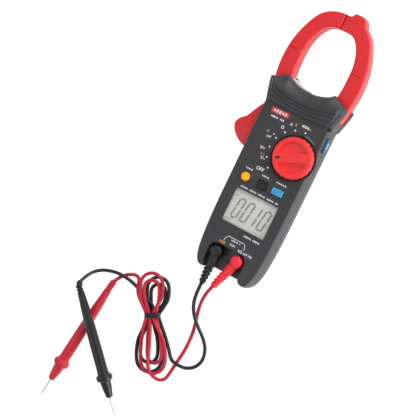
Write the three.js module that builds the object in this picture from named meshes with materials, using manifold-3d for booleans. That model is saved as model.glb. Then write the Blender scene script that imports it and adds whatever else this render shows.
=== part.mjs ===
// A hand-held clamp meter lying on its back, with its two test leads laid out below it.
// Millimetres, +Z up. The origin is on the back face, on the meter's long axis, level with the dial.
// +Y points to the jaws, +X to the side that carries the hold button.

import * as THREE from 'three';
import { mergeVertices } from 'three/addons/utils/BufferGeometryUtils.js';
import Module from 'manifold-3d';

const wasm = await Module();
wasm.setup();

// ---------------------------------------------------------------- driving dimensions

const GAP = 0.3;                 // clearance between neighbouring pieces
const WALL = 2.2;                // thickness of the case walls
const FRONT = 36;                // height of the front face above the back face
const PARTING = 24;              // plane where the two case halves meet
const GRIP_HALF = 34.5;          // half the grip's width at the parting plane
const GRIP_END = -127.5;         // bottom end of the case
const GRIP_TOP = 46;             // where the grip passes into the head
const HEAD_HALF = 40;            // half the head's width at its shoulders

const JAW_LOW = 10;              // back and front faces of the jaws and the trigger
const JAW_HIGH = 26;
const JAW_SPLIT = -2;            // the jaws meet at this x
const PIVOT = [-24, 50];         // the moving jaw's hinge
const PIN_RADIUS = 2;
const HUB_RADIUS = 8.5;

const DIAL = [14.9, 0.4];        // rotary switch
const DIAL_RADIUS = 19.8;
const DIAL_TOP = 41;
const DIAL_ANGLE = 202.5;        // where the pointer stands, degrees from +X
const DIAL_SEAT = 34.3;          // floor of the recess that the dial turns in

const BOARD_Z = 27;              // underside of the main board
const BOARD_TOP = 28.6;

const WINDOW = { x: 0.3, y: -62.5, width: 45, height: 33 };

const BUTTONS = [
  { name: 'select', x: -18.8, y: -33.9, width: 9.6, height: 9.6, round: true },
  { name: 'relative', x: -0.4, y: -34.3, width: 9.5, height: 8 },
  { name: 'minmax', x: 15.2, y: -33.9, width: 12, height: 7 },
];
const HOLD = { y: 23, length: 13.6, z: 24.5, height: 7.6 };

const SCREWS = [[24.5, -112], [-24.5, -112], [0, 49], [28, 48.5]];

const SOCKET_FLOOR = 26;         // floor of the recess for the plugs
const SOCKET_Y = -108.4;
const COM_SOCKET_X = -14;
const VOLT_SOCKET_X = 8.5;
const VOLT_PLUG_TURN = -19.8;    // the red plug's arm is swung this many degrees
const PLUG_ARM_Z = 31.2;

const BATTERY = { x: 0, y0: -95.5, y1: -47, width: 26.5, z0: 2.8, z1: 20.3 };

const CORD_DIAMETER = 3.5;
const HANK_CENTRE = [-53, -197.9];     // where the tie holds the hank
const HANK_TURN = -62.8;               // direction of the hank's long axis, degrees from +X
const HANK_HEIGHT = 11;

const PROBE_LENGTH = 130;        // from the needle's point to the end of the relief
const COM_PROBE = { tip: [-44.3, -304.2, 1.9], rear: [-127.7, -207.8, 20.2] };
const VOLT_PROBE = { tip: [-121.8, -322.9, 8.4], rear: [-106, -194.6, 4.9] };

// ---------------------------------------------------------------- materials

const plastic = (color, roughness = 0.6) =>
  new THREE.MeshStandardMaterial({ color, roughness, metalness: 0 });
const metal = (color, roughness = 0.3) =>
  new THREE.MeshStandardMaterial({ color, roughness, metalness: 1 });

const charcoal = () => plastic(0x44444a, 0.65);
const jawRed = () => plastic(0xe23240, 0.45);
const leadRed = () => plastic(0xd8223c, 0.5);
const leadBlack = () => plastic(0x26282a, 0.5);
const steel = () => metal(0xb8bcc0, 0.3);
const brass = () => metal(0xc9a24a, 0.3);
const ferrite = () => plastic(0x3a3c40, 0.8);
const copper = () => metal(0xb3623a, 0.4);
const boardGreen = () => plastic(0x1f6b3a, 0.5);
const chipBlack = () => plastic(0x17181a, 0.4);
const switchMetal = () => metal(0x9a9ea2, 0.4);
const clearLens = () => new THREE.MeshStandardMaterial({
  color: 0xdfe4e2, roughness: 0.1, transparent: true, opacity: 0.35,
});

// ---------------------------------------------------------------- solids

function solid(geometry) {
  geometry.deleteAttribute('normal');
  geometry.deleteAttribute('uv');
  const merged = mergeVertices(geometry, 1e-4);
  return new wasm.Manifold(new wasm.Mesh({
    numProp: 3,
    vertProperties: new Float32Array(merged.attributes.position.array),
    triVerts: new Uint32Array(merged.index.array),
  }));
}

const join = (first, ...rest) => rest.reduce((sum, next) => sum.add(next), first);
const cut = (first, ...rest) => rest.reduce((left, next) => left.subtract(next), first);

function box(x0, x1, y0, y1, z0, z1) {
  const geometry = new THREE.BoxGeometry(x1 - x0, y1 - y0, z1 - z0);
  geometry.translate((x0 + x1) / 2, (y0 + y1) / 2, (z0 + z1) / 2);
  return solid(geometry);
}

// A box given by its centre and its width (x) and height (y) in plan.
const pad = (x, y, width, height, z0, z1) =>
  box(x - width / 2, x + width / 2, y - height / 2, y + height / 2, z0, z1);

function rod(x, y, radius, z0, z1, sides = 16) {
  const geometry = new THREE.CylinderGeometry(radius, radius, z1 - z0, sides);
  geometry.rotateX(Math.PI / 2);
  geometry.translate(x, y, (z0 + z1) / 2);
  return solid(geometry);
}

// Revolves [radius, distance] pairs about the Y axis; the profile starts and ends on the axis.
const lathe = (profile, sides) =>
  new THREE.LatheGeometry(profile.map(([r, along]) => new THREE.Vector2(r, along)), sides);

// The same about the Z axis, as a solid.
function turned(profile, sides = 14) {
  const geometry = lathe(profile, sides);
  geometry.rotateX(Math.PI / 2);
  return solid(geometry);
}

function slab(shape, z0, z1, curveSegments = 6) {
  const settings = { depth: z1 - z0, bevelEnabled: false, curveSegments };
  const geometry = new THREE.ExtrudeGeometry(shape, settings);
  geometry.translate(0, 0, z0);
  return solid(geometry);
}

function polygon(points) {
  return new THREE.Shape(points.map(([x, y]) => new THREE.Vector2(x, y)));
}

// A rectangle with rounded corners, by its centre.
function roundedRect(x, y, width, height, radius) {
  const [x0, x1, y0, y1] = [x - width / 2, x + width / 2, y - height / 2, y + height / 2];
  const shape = new THREE.Shape();
  shape.absarc(x1 - radius, y0 + radius, radius, -Math.PI / 2, 0);
  shape.absarc(x1 - radius, y1 - radius, radius, 0, Math.PI / 2);
  shape.absarc(x0 + radius, y1 - radius, radius, Math.PI / 2, Math.PI);
  shape.absarc(x0 + radius, y0 + radius, radius, Math.PI, Math.PI * 1.5);
  return shape;
}

// Skins a stack of outlines, each { z, shape } with the same number of points.
function loft(levels) {
  const rings = levels.map(({ shape }) => shape.getPoints(4));
  const count = rings[0].length - 1;
  const positions = levels.flatMap(({ z }, level) =>
    rings[level].slice(0, count).flatMap((point) => [point.x, point.y, z]));
  const index = [];
  for (let level = 0; level < levels.length - 1; level += 1) {
    for (let i = 0; i < count; i += 1) {
      const a = level * count + i;
      const b = level * count + (i + 1) % count;
      index.push(a, b, b + count, a, b + count, a + count);
    }
  }
  const last = (levels.length - 1) * count;
  for (const [a, b, c] of THREE.ShapeUtils.triangulateShape(rings[0].slice(0, count), [])) {
    index.push(a, c, b);
  }
  for (const [a, b, c] of THREE.ShapeUtils.triangulateShape(rings.at(-1).slice(0, count), [])) {
    index.push(last + a, last + b, last + c);
  }
  const geometry = new THREE.BufferGeometry();
  geometry.setAttribute('position', new THREE.Float32BufferAttribute(positions, 3));
  geometry.setIndex(index);
  return solid(geometry);
}

function tube(points, radius, steps, sides = 8) {
  const section = new THREE.Shape();
  section.absarc(0, 0, radius, 0, Math.PI * 2);
  const through = points.map((point) => new THREE.Vector3(...point));
  const path = new THREE.CatmullRomCurve3(through, false, 'centripetal');
  return solid(new THREE.ExtrudeGeometry(section, { steps, curveSegments: sides / 2, extrudePath: path }));
}

// ---------------------------------------------------------------- the scene graph

const meter = new THREE.Group();

function addPart(name, material, shape, parent = meter) {
  const { vertProperties, triVerts } = shape.getMesh();
  const geometry = new THREE.BufferGeometry();
  geometry.setAttribute('position', new THREE.BufferAttribute(vertProperties, 3));
  geometry.setIndex(new THREE.BufferAttribute(triVerts, 1));
  geometry.computeVertexNormals();
  const part = new THREE.Mesh(geometry, material);
  part.name = name;
  parent.add(part);
}

function addGroup(x, y, turn = 0) {
  const group = new THREE.Group();
  group.position.set(x, y, 0);
  group.rotation.z = THREE.MathUtils.degToRad(turn);
  meter.add(group);
  return group;
}

// ---------------------------------------------------------------- case outlines

// Plan of the grip: parallel sides that draw in to two rounded lobes beside the plug recess.
function gripOutline(half, end, top = GRIP_TOP) {
  const notch = 17;
  const shape = new THREE.Shape();
  const side = (s) => [
    [s * notch, end + 3.8], [s * half * 0.55, end], [s * half * 0.66, end],
    [s * half * 0.86, end], [s * half * 0.93, end + 13], [s * half * 0.96, end + 28],
    [s * half, end + 45], [s * half, end + 75],
  ];
  const [a, b, c, d, e, f, g, h] = side(1);
  shape.moveTo(...a);
  shape.quadraticCurveTo(...b, ...c);
  shape.bezierCurveTo(...d, ...e, ...f);
  shape.quadraticCurveTo(...g, ...h);
  shape.lineTo(half, top);
  shape.lineTo(-half, top);
  const [p, q, r, s, t, u, v, w] = side(-1);
  shape.lineTo(...w);
  shape.quadraticCurveTo(...v, ...u);
  shape.bezierCurveTo(...t, ...s, ...r);
  shape.quadraticCurveTo(...q, ...p);
  shape.closePath();
  return shape;
}

// Plan of the head: flared shoulders and the hollow between the jaws, drawn in by inset.
function headOutline(inset = 0) {
  const half = HEAD_HALF - inset;
  const top = 67.5 - inset;
  const shape = new THREE.Shape();
  shape.moveTo(-half + 5.5, 37);
  shape.lineTo(half - 5.5, 37);
  shape.quadraticCurveTo(half - 2.6, 47, half - 0.6, 55.5 - inset);
  shape.lineTo(half, 60 - inset);
  shape.lineTo(23.5 - inset * 0.3, top);
  shape.bezierCurveTo(13.5, top - 10, -13.5, top - 10, -23.5 + inset * 0.3, top);
  shape.lineTo(-half, 60 - inset);
  shape.lineTo(-half + 0.6, 55.5 - inset);
  shape.quadraticCurveTo(-half + 2.6, 47, -half + 5.5, 37);
  return shape;
}

const grip = (levels, inset = 0) => loft(levels.map(([z, half, end]) =>
  ({ z, shape: gripOutline(half - inset, end + inset, GRIP_TOP - inset) })));
const head = (levels) => loft(levels.map(([z, inset]) => ({ z, shape: headOutline(inset) })));

// The slot that the jaws and the trigger swing in, open at both sides of the head.
const jawSlot = () => join(
  box(-32.2, 32.2, 36.6, 70, JAW_LOW - GAP, JAW_HIGH + GAP),
  box(-45, 45, GRIP_TOP, 70, JAW_LOW - GAP, JAW_HIGH + GAP),
  box(-45, -20, -14, 36.6, JAW_LOW - GAP, JAW_HIGH + GAP),
);

const holdHole = () => box(
  29, 40, HOLD.y - HOLD.length / 2 - GAP, HOLD.y + HOLD.length / 2 + GAP,
  HOLD.z - HOLD.height / 2 - GAP, HOLD.z + HOLD.height / 2 + GAP,
);

// ---------------------------------------------------------------- case

function rearCase() {
  const body = grip([
    [0, 28, -121], [4, 31.6, -124.2], [10, 33.7, -126.4], [17, GRIP_HALF, GRIP_END],
    [PARTING - GAP / 2, GRIP_HALF, GRIP_END],
  ]);
  const hollow = grip([
    [WALL, 28, -121], [5, 31.6, -124.2], [10, 33.7, -126.4], [17, GRIP_HALF, GRIP_END],
    [PARTING + 1, GRIP_HALF, GRIP_END],
  ], WALL);
  const guard = head([[0, 3.5], [3, 0.8], [JAW_LOW - GAP, 0]]);
  const guardHollow = head([[WALL + 0.2, 5.5], [JAW_LOW + 0.2, 2.6]]);
  const post = ([x, y], top) => rod(x, y, 3.6, 1, top, 12);
  const batteryWalls = cut(box(-16, 16, -98, -42, 1, 22), box(-14.5, 14.5, -96.5, -43.5, 0, 20.8));
  const inside = [
    batteryWalls,
    box(-18, 18, -106, -96.5, 1, 5),
    rod(0, -100.8, 3.4, 1, 8),
    rod(...PIVOT, 3.4, 1, 12),
    ...SCREWS.map((place) => post(place, JAW_HIGH)),
  ];
  const crotch = cut(
    slab(headOutline(0), JAW_LOW - 1, JAW_HIGH),
    slab(headOutline(2.2), 0, 40),
    box(-60, 60, 0, 56, 0, 40), box(-60, -19, 50, 70, 0, 40), box(19, 60, 50, 70, 0, 40),
  );
  const room = cut(join(hollow, guardHollow), ...inside);
  const headPosts = SCREWS.filter(([, y]) => y > GRIP_TOP).map((place) => post(place, JAW_HIGH));
  return cut(
    join(cut(join(body, guard), room, jawSlot()), crotch, ...headPosts),
    box(-14.5, 14.5, -96.5, -43.5, -1, 20.8),
    box(-16.3, 16.3, -104.3, -41.7, -1, 2.5),
    rod(0, -100.8, 1.3, -1, 7, 12),
    rod(...PIVOT, PIN_RADIUS + GAP, 2.5, 12),
    holdHole(),
    ...SCREWS.map(([x, y]) => rod(x, y, 1.8, -1, 30, 12)),
    ...SCREWS.map(([x, y]) => rod(x, y, 3.1, -1, 3, 12)),
  );
}

function frontCase() {
  const body = grip([
    [PARTING + GAP / 2, GRIP_HALF, GRIP_END], [27, 34.3, -127.2], [33, 33, -124.6],
    [35, 32.2, -123.4], [FRONT, 30.6, -121.8],
  ]);
  const hollow = grip([
    [PARTING - 1, GRIP_HALF, GRIP_END], [27, 34.3, -127.2], [FRONT - WALL, 32.8, -124.2],
  ], WALL);
  const collar = head([[JAW_HIGH - 1, 0], [31, 0], [34, 1.2], [FRONT + 0.2, 3.5]]);
  const collarHollow = head([[JAW_HIGH - 2, 2.6], [FRONT - WALL - 0.3, 4.5]]);
  const ridges = [[39, 57.5, 37.2], [38, 53.5, 38.2], [43, 49, 39.1]].map(([y0, y1, z]) => cut(
    slab(headOutline(3), FRONT - 1, z),
    box(-60, 60, 0, y0, 0, 60),
    box(-60, 60, y1, 80, 0, 60),
  ));
  const inside = [
    rod(...DIAL, 24.5, 32.4, FRONT - 0.5, 28),
    slab(roundedRect(-2.2, -119, 43, 42.4, 10), 20, FRONT - 1, 3),
    rod(...PIVOT, 4, 20, FRONT - 1),
    ...SCREWS.map(([x, y]) => rod(x, y, 3.5, 20, FRONT - 1, 12)),
  ];
  const room = cut(join(hollow, collarHollow), ...inside);
  return cut(
    join(body, collar, ...ridges),
    room,
    jawSlot(),
    slab(roundedRect(-2.2, -119, 38.6, 38, 8), SOCKET_FLOOR, FRONT + 2, 3),
    rod(...DIAL, DIAL_RADIUS + 1.8, DIAL_SEAT, 50, 32),
    rod(...DIAL, 8.3, 30, 50),
    pad(WINDOW.x, WINDOW.y, WINDOW.width, WINDOW.height, 30, 40),
    ...BUTTONS.map(({ x, y, width, height, round }) => (round
      ? rod(x, y, width / 2 + GAP, 30, 40)
      : pad(x, y, width + 2 * GAP, height + 2 * GAP, 30, 40))),
    ...[COM_SOCKET_X, VOLT_SOCKET_X].map((x) => rod(x, SOCKET_Y, 4.6, 20, 30)),
    ...SCREWS.map(([x, y]) => rod(x, y, 1.8, 20, 33.5, 12)),
    rod(...PIVOT, PIN_RADIUS + GAP, 20, 33),
    holdHole(),
  );
}

function addCase() {
  addPart('rear_case', charcoal(), rearCase());
  addPart('front_case', charcoal(), frontCase());
  const cover = cut(
    box(-16, 16, -104, -42, 0, 2.2),
    rod(0, -100.8, 1.8, -1, 3),
    rod(0, -100.8, 3.1, -1, 1.2),
  );
  const grooves = [-50, -53, -56].map((y) => box(-9, 9, y, y + 1.4, -1, 0.6));
  addPart('battery_cover', charcoal(), cut(cover, ...grooves));
  addPart('battery_cover_screw', steel(), screw(6.2, 0.9, 0.95, 2.6), addGroup(0, -100.8));
  SCREWS.forEach(([x, y], i) => {
    addPart(`case_screw_${i + 1}`, steel(), screw(32, 2.7, 1.4, 2.7), addGroup(x, y));
  });
}

// A pan-head screw standing head down, with a cross recess in its head.
function screw(length, headTop, shankRadius, headRadius) {
  const body = turned([
    [0, 0.35], [headRadius, 0.35], [headRadius, headTop], [shankRadius, headTop],
    [shankRadius, length - 1], [0, length],
  ], 12);
  const slot = headRadius * 0.6;
  const recess = [box(-slot, slot, -0.35, 0.35, 0, 0.85), box(-0.35, 0.35, -slot, slot, 0, 0.85)];
  return cut(body, ...recess);
}

// ---------------------------------------------------------------- jaws

// Outer and inner edges of the two jaws together, from the moving root over the top to the fixed root.
const JAW_OUTER = [
  [36.3, 52], [39.6, 64], [40.9, 80], [39.4, 97], [34, 114.5], [25, 130], [13, 137], [0, 138.3],
];
const JAW_INNER = [
  [20.5, 56], [23.7, 68], [24.8, 83], [24.1, 99], [20.2, 112], [13.5, 121], [6, 123.6], [0, 123.8],
];

function jawEdge(half) {
  const right = half.map(([x, y]) => new THREE.Vector2(x, y));
  const left = right.slice(0, -1).map(({ x, y }) => new THREE.Vector2(-x, y));
  return new THREE.SplineCurve([...left, ...right.reverse()]).getSpacedPoints(34);
}

const outerEdge = jawEdge(JAW_OUTER);
const innerEdge = jawEdge(JAW_INNER);

// The stretch of the arch between two fractions of its width: 0 is the inner edge, 1 the outer.
function arch(from, to, z0, z1) {
  const at = (fraction) => innerEdge.map((point, i) => point.clone().lerp(outerEdge[i], fraction));
  return slab(new THREE.Shape([...at(from), ...at(to).reverse()]), z0, z1);
}

const leftOf = (x) => box(-80, x, -50, 160, -10, 60);
const rightOf = (x) => box(x, 80, -50, 160, -10, 60);

// The moving jaw's root: from the arch to the hinge, and on down to the trigger.
function leverOutline() {
  const shape = new THREE.Shape();
  shape.moveTo(-36.3, 52);
  shape.lineTo(-32.2, 49.6);
  shape.lineTo(-31.6, 46);
  shape.lineTo(-31.6, 36.2);
  shape.lineTo(-37.2, 34.3);
  shape.quadraticCurveTo(-42, 27, -47.2, 16.6);
  shape.lineTo(-51.4, 12.9);
  shape.quadraticCurveTo(-56.6, 8, -54.4, 3);
  shape.bezierCurveTo(-51.5, -4, -43, -9.5, -34.7, -10.7);
  shape.lineTo(-29, -11.4);
  shape.lineTo(-27.5, -8);
  shape.lineTo(-22, 25);
  shape.lineTo(-16.5, 44);
  shape.lineTo(-15.6, 50);
  shape.lineTo(-17.5, 56);
  shape.lineTo(-22, 62);
  shape.lineTo(-38, 58);
  return shape;
}

function movingShell(z0, z1) {
  const limb = arch(0, 1, z0, z1).intersect(leftOf(JAW_SPLIT - GAP / 2));
  return join(limb, slab(leverOutline(), z0, z1), rod(...PIVOT, HUB_RADIUS, z0, z1));
}

function fixedShell(z0, z1) {
  const root = slab(polygon([
    [36.3, 52], [36.3, GRIP_TOP + GAP], [31.9, GRIP_TOP + GAP], [31.9, 40.5], [14.8, 40.5],
    [14.8, 50], [17.5, 56], [22, 62], [38, 58],
  ]), z0, z1);
  return join(arch(0, 1, z0, z1).intersect(rightOf(JAW_SPLIT + GAP / 2)), root);
}

// The tab on the fixed jaw that hooks over the tip of the moving one.
const jawTab = (z0, z1) => slab(polygon([
  [2.8, 136], [3.6, 139.2], [5, 142], [13.6, 142.3], [17.4, 139.8], [19, 134],
]), z0, z1);

// Space inside a jaw for its core and coil, with a narrow way out at the tip for the core's end.
const jawHollow = (z0, z1) => join(
  cut(arch(0.14, 0.86, z0, z1), box(JAW_SPLIT - 2.2, JAW_SPLIT + 2.2, 110, 150, 0, 40)),
  arch(0.26, 0.74, Math.max(z0, 14.1), Math.min(z1, 21.9)),
);

const jawCore = () => arch(0.31, 0.69, 14.5, 21.5);

const jawCoil = (side) => cut(
  pad(side * 32.6, 81, 10.1, 22, 12.7, 23.3),
  pad(side * 32.6, 81, 7.6, 30, 14.1, 21.9),
);

function addJaws() {
  const middle = (JAW_LOW + JAW_HIGH) / 2;
  const hingeHole = rod(...PIVOT, PIN_RADIUS + GAP, 0, 40);
  const screwHole = rod(...SCREWS[3], 4, 0, 40);
  const below = [JAW_LOW, middle - GAP / 2];
  const above = [middle + GAP / 2, JAW_HIGH];
  const lowHollow = jawHollow(JAW_LOW + WALL, middle + 1);
  const highHollow = jawHollow(middle - 1, JAW_HIGH - WALL);
  const coreEnds = box(-80, 80, 0, 56, 0, 40);

  addPart('moving_jaw_rear', jawRed(), cut(movingShell(...below), lowHollow, hingeHole));
  addPart('moving_jaw_front', jawRed(), cut(movingShell(...above), highHollow, hingeHole));
  const movingCore = jawCore().intersect(leftOf(JAW_SPLIT - GAP / 2));
  addPart('moving_jaw_core', ferrite(), cut(movingCore, coreEnds));
  addPart('moving_jaw_coil', copper(), jawCoil(-1));

  const fixed = (range) => join(fixedShell(...range), jawTab(...range));
  addPart('fixed_jaw_rear', jawRed(), cut(fixed(below), lowHollow, screwHole));
  addPart('fixed_jaw_front', jawRed(), cut(fixed(above), highHollow, screwHole));
  const fixedCore = jawCore().intersect(rightOf(JAW_SPLIT + GAP / 2));
  addPart('fixed_jaw_core', ferrite(), cut(fixedCore, coreEnds));
  addPart('fixed_jaw_coil', copper(), jawCoil(1));

  addPart('jaw_pivot_pin', steel(), rod(...PIVOT, PIN_RADIUS, 2.8, 32.7));
  addPart('jaw_spring', steel(), jawSpring());
}

// Torsion spring wound round the rear hinge boss, with a leg to each side.
function jawSpring() {
  const [turns, radius, low, pitch, perTurn] = [3, 4.9, 4, 1.7, 8];
  const coil = Array.from({ length: turns * perTurn + 1 }, (_, i) => {
    const angle = (i / perTurn) * Math.PI * 2;
    const [x, y] = [radius * Math.cos(angle), radius * Math.sin(angle)];
    return [PIVOT[0] + x, PIVOT[1] + y, low + (pitch * i) / perTurn];
  });
  const firstLeg = [PIVOT[0] + radius, PIVOT[1] - 8, low];
  const lastLeg = [PIVOT[0] + radius, PIVOT[1] + 7, low + pitch * turns];
  return tube([firstLeg, ...coil, lastLeg], 0.6, turns * perTurn + 6, 6);
}

// ---------------------------------------------------------------- dial

// A ring of shallow scallops between two heights, tapering from one radius to the other.
function scalloped(sections, count = 20) {
  const levels = sections.map(([z, radius]) => {
    const points = Array.from({ length: count * 2 }, (_, i) => {
      const angle = (i / (count * 2)) * Math.PI * 2;
      const r = radius - 0.25 * (1 - Math.cos(angle * count));
      return new THREE.Vector2(r * Math.cos(angle), r * Math.sin(angle));
    });
    return { z, shape: new THREE.Shape([...points, points[0]]) };
  });
  return loft(levels);
}

function addDial() {
  const group = addGroup(...DIAL, DIAL_ANGLE);
  const moons = cut(rod(0, 0, 14.5, DIAL_TOP - 3.6, 50, 24), box(-30, 30, -5, 5, 0, 60));
  const knob = cut(
    scalloped([
      [DIAL_SEAT + GAP, DIAL_RADIUS], [38, DIAL_RADIUS - 0.3], [DIAL_TOP - 0.8, 19.2], [DIAL_TOP, 18.5],
    ]),
    moons,
    box(12, 15.5, -0.9, 0.9, DIAL_TOP - 1, DIAL_TOP + 1),
    rod(0, 0, 7.8, 30, 36.4),
  );
  addPart('dial_knob', plastic(0xe5333c, 0.45), knob, group);

  const rotor = join(rod(0, 0, 7.5, 30.3, 36), rod(0, 0, 15.5, 30.3, 32.1, 24));
  addPart('dial_rotor', plastic(0xd9d9d2, 0.5), cut(rotor, rod(0, 15.5, 1.4, 30, 33, 10)), group);
  const wiper = cut(rod(0, 0, 12, 29, 30), rod(0, 0, 8.5, 28, 31), box(2, 20, -2.2, 2.2, 28, 31));
  addPart('dial_wiper', brass(), wiper, group);
  addPart('dial_detent_ball', steel(), ball(0, 15.6, 31.2, 1), group);
}

function ball(x, y, z, radius) {
  const geometry = new THREE.SphereGeometry(radius, 8, 6);
  geometry.translate(x, y, z);
  return solid(geometry);
}

// ---------------------------------------------------------------- buttons

function addButtons() {
  const colours = { select: 0xf8bd1e, relative: 0x26282b, minmax: 0x4fa0d0 };
  for (const { name, x, y, width, height, round } of BUTTONS) {
    const shape = round
      ? join(rod(x, y, width / 2, 32, 37.3, 24), rod(x, y, width / 2 + 1.2, 31.2, 33.4))
      : join(
        slab(roundedRect(x, y, width, height, 1), 32, 37, 3),
        pad(x, y, width + 2, height + 2, 31.2, 33.4),
      );
    addPart(`${name}_button`, plastic(colours[name], 0.45), shape);
    const tactSwitch = join(pad(x, y, 6, 6, BOARD_TOP + GAP, 29.5), rod(x, y, 1.7, 29, 29.9, 10));
    addPart(`${name}_switch`, switchMetal(), tactSwitch);
  }
  const { y, length, z, height } = HOLD;
  const cap = box(30.5, 35.7, y - length / 2, y + length / 2, z - height / 2, z + height / 2);
  const [reach, rise] = [length / 2 + 1, height / 2 + 1];
  const flange = box(29.9, 31.1, y - reach, y + reach, z - rise, z + rise);
  addPart('hold_button', plastic(0x3f8fc4, 0.45), join(cap, flange));
  addPart('hold_switch', switchMetal(), box(24, 28.6, y - 3, y + 3, 20.5, BOARD_Z - GAP));
}

// ---------------------------------------------------------------- display and electronics

function addDisplay() {
  const { x, y, width, height } = WINDOW;
  addPart('display_lens', clearLens(), pad(x, y, width - 2 * GAP, height - 2 * GAP, 33.9, 35.3));
  const frame = cut(pad(x, y, 52, 41, 29, 33.5), pad(x, y, 48, 37.6, 28, 34));
  addPart('display_frame', chipBlack(), frame);
  addPart('display_glass', plastic(0xc4c8bd, 0.25), pad(x, y, 47.4, 37, 31.4, 33.4));
  addPart('display_backlight', plastic(0xf0f2ee, 0.4), pad(x, y + 1, 46, 33.5, 29, 31.1));
  addPart('display_connector', plastic(0xd98aa0, 0.7), pad(x, y - 17.4, 42, 1.8, 29, 31.1));
}

function addElectronics() {
  const board = cut(
    box(-28, 28, -96, 34, BOARD_Z, BOARD_TOP),
    rod(...DIAL, 3, 20, 30),
    box(20, 30, -97, -88, 20, 30),
    box(-30, -20, -97, -88, 20, 30),
  );
  addPart('main_board', boardGreen(), board);
  addPart('measuring_chip', chipBlack(), box(-18, -4, 14, 28, BOARD_TOP + GAP, 30.6));
  addPart('buzzer', chipBlack(), rod(-20, 6, 5, BOARD_TOP + GAP, 32.6));
  addPart('fuse_resistor', plastic(0xd8c9a0, 0.6), box(-24, -16, -14, -11, BOARD_TOP + GAP, 31));

  const inputBoard = box(-20.2, 16, -119, -101.5, 9, 10.6);
  addPart('input_board', boardGreen(), inputBoard);
  for (const [name, x] of [['com_socket', COM_SOCKET_X], ['volt_socket', VOLT_SOCKET_X]]) {
    const sleeve = cut(rod(x, SOCKET_Y, 3.1, 10.9, 24), rod(x, SOCKET_Y, 2.25, 12, 25));
    addPart(name, brass(), cut(sleeve, box(x - 0.3, x + 0.3, SOCKET_Y - 5, SOCKET_Y, 15, 25)));
  }
  const { x, y0, y1, width, z0, z1 } = BATTERY;
  addPart('battery', plastic(0x9a9fa6, 0.35), box(x - width / 2, x + width / 2, y0, y1, z0, z1));
  addPart('battery_snap', chipBlack(), box(x - width / 2, x + width / 2, y1 + GAP, -43.8, 5, 19));
}

// ---------------------------------------------------------------- test leads

// A right-angle plug moulding with a ribbed strain relief; its arm points along -Y.
function plugBody() {
  const head = turned([
    [0, SOCKET_FLOOR + GAP], [5.6, SOCKET_FLOOR + GAP], [6.1, 28], [6.1, 34], [5.2, 36.4], [3, 37.6],
    [0, 37.9],
  ]);
  const arm = lathe([
    [0, 0], [4.9, 0], [4.85, 9], [4.3, 16], [3.6, 18], [4.6, 18.5], [4.6, 21], [3.4, 21.4],
    [3.4, 22.9], [4.3, 23.3], [4.3, 25.5], [3.1, 25.9], [3.1, 27.3], [3.9, 27.7], [3.9, 29.8],
    [2.7, 30.2], [2.5, 33.7], [0, 33.7],
  ], 12);
  arm.rotateX(Math.PI);
  arm.translate(0, 0, PLUG_ARM_Z);
  return join(head, solid(arm));
}

function addPlug(name, material, x, turn) {
  const group = addGroup(x, SOCKET_Y, turn);
  addPart(`${name}_plug`, material, plugBody(), group);
  const pin = turned([
    [0, 13], [1.4, 13], [1.95, 15], [1.95, SOCKET_FLOOR], [0, SOCKET_FLOOR],
  ], 16);
  addPart(`${name}_plug_pin`, brass(), pin, group);
}

// Places a group with its +Z axis along the line from one point to another, its origin at the first.
function addAlong({ tip, rear }) {
  const group = new THREE.Group();
  const start = new THREE.Vector3(...tip);
  const direction = new THREE.Vector3(...rear).sub(start).normalize();
  group.position.copy(start);
  group.quaternion.setFromUnitVectors(new THREE.Vector3(0, 0, 1), direction);
  meter.add(group);
  return group;
}

// A probe stands on its tip here: needle, nose, finger guard, handle and tapered relief.
function addProbe(name, material, line) {
  const group = addAlong(line);
  const needle = turned([[0, 0], [0.5, 0.6], [1, 3], [1, 18.2], [0, 18.2]], 12);
  addPart(`${name}_probe_tip`, steel(), needle, group);
  const handle = turned([
    [0, 18.5], [2.7, 18.5], [3.2, 19.6], [4.9, 36.4], [6.9, 37.2], [7.2, 38.7], [6.9, 40.2],
    [4.9, 41], [4.6, 44], [4.5, 100], [4.8, 110], [4.4, 119], [3.2, 122], [2.8, PROBE_LENGTH],
    [0, PROBE_LENGTH],
  ]);
  addPart(`${name}_probe`, material, handle, group);
}

const COM_PLUG_CORD = [
  [-14, -142.6, 31.2], [-14.2, -148, 30.6], [-14.8, -153.7, 28], [-15.4, -163, 22], [-14, -171, 16.8],
  [-10.8, -178.3, 11.8], [-4.4, -186.3, 7], [3.2, -194.2, 3.2], [8.8, -202.3, 2], [10.9, -212.2, 2],
  [8, -220.7, 2], [1.1, -226.5, 3.2], [-7.8, -227.6, 6.4], [-16.6, -226.7, 3.8],
];
const VOLT_PLUG_CORD = [
  [-3.15, -140.75, 31.2], [-5.2, -146.3, 29.6], [-8, -154.2, 24.2], [-10.5, -162.6, 16.4],
  [-11.8, -171, 9.4], [-11.6, -180.8, 3.8], [-10.4, -188.5, 2.1], [-9.4, -195.5, 2],
  [-9.1, -210.6, 2], [-11, -226.9, 2], [-13.3, -242.4, 2],
];
const COM_PROBE_CORD = [
  [-81, -181.6, 3.4], [-88.2, -179.3, 5], [-95, -178.2, 6.4], [-101.6, -178.2, 6.2],
  [-108, -179.3, 4.6], [-114.6, -181.2, 3.6], [-120.6, -183.6, 4.4], [-126, -187.6, 7.4],
  [-129.1, -192.5, 11.8], [-130.4, -197.6, 16.6], [-130.8, -202, 19.6], [-129.9, -205.2, 20.5],
  [-129, -206.35, 20.44],
];
const VOLT_PROBE_CORD = [
  [-82, -172.4, 2.2], [-86.5, -172.2, 2], [-92.9, -174, 2], [-97.7, -177.4, 2.2], [-101.4, -181.8, 3.6],
  [-104.1, -187, 4.8], [-105.84, -193.3, 4.87],
];

const CORD_RADIUS = CORD_DIAMETER / 2 - 0.05;

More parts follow.
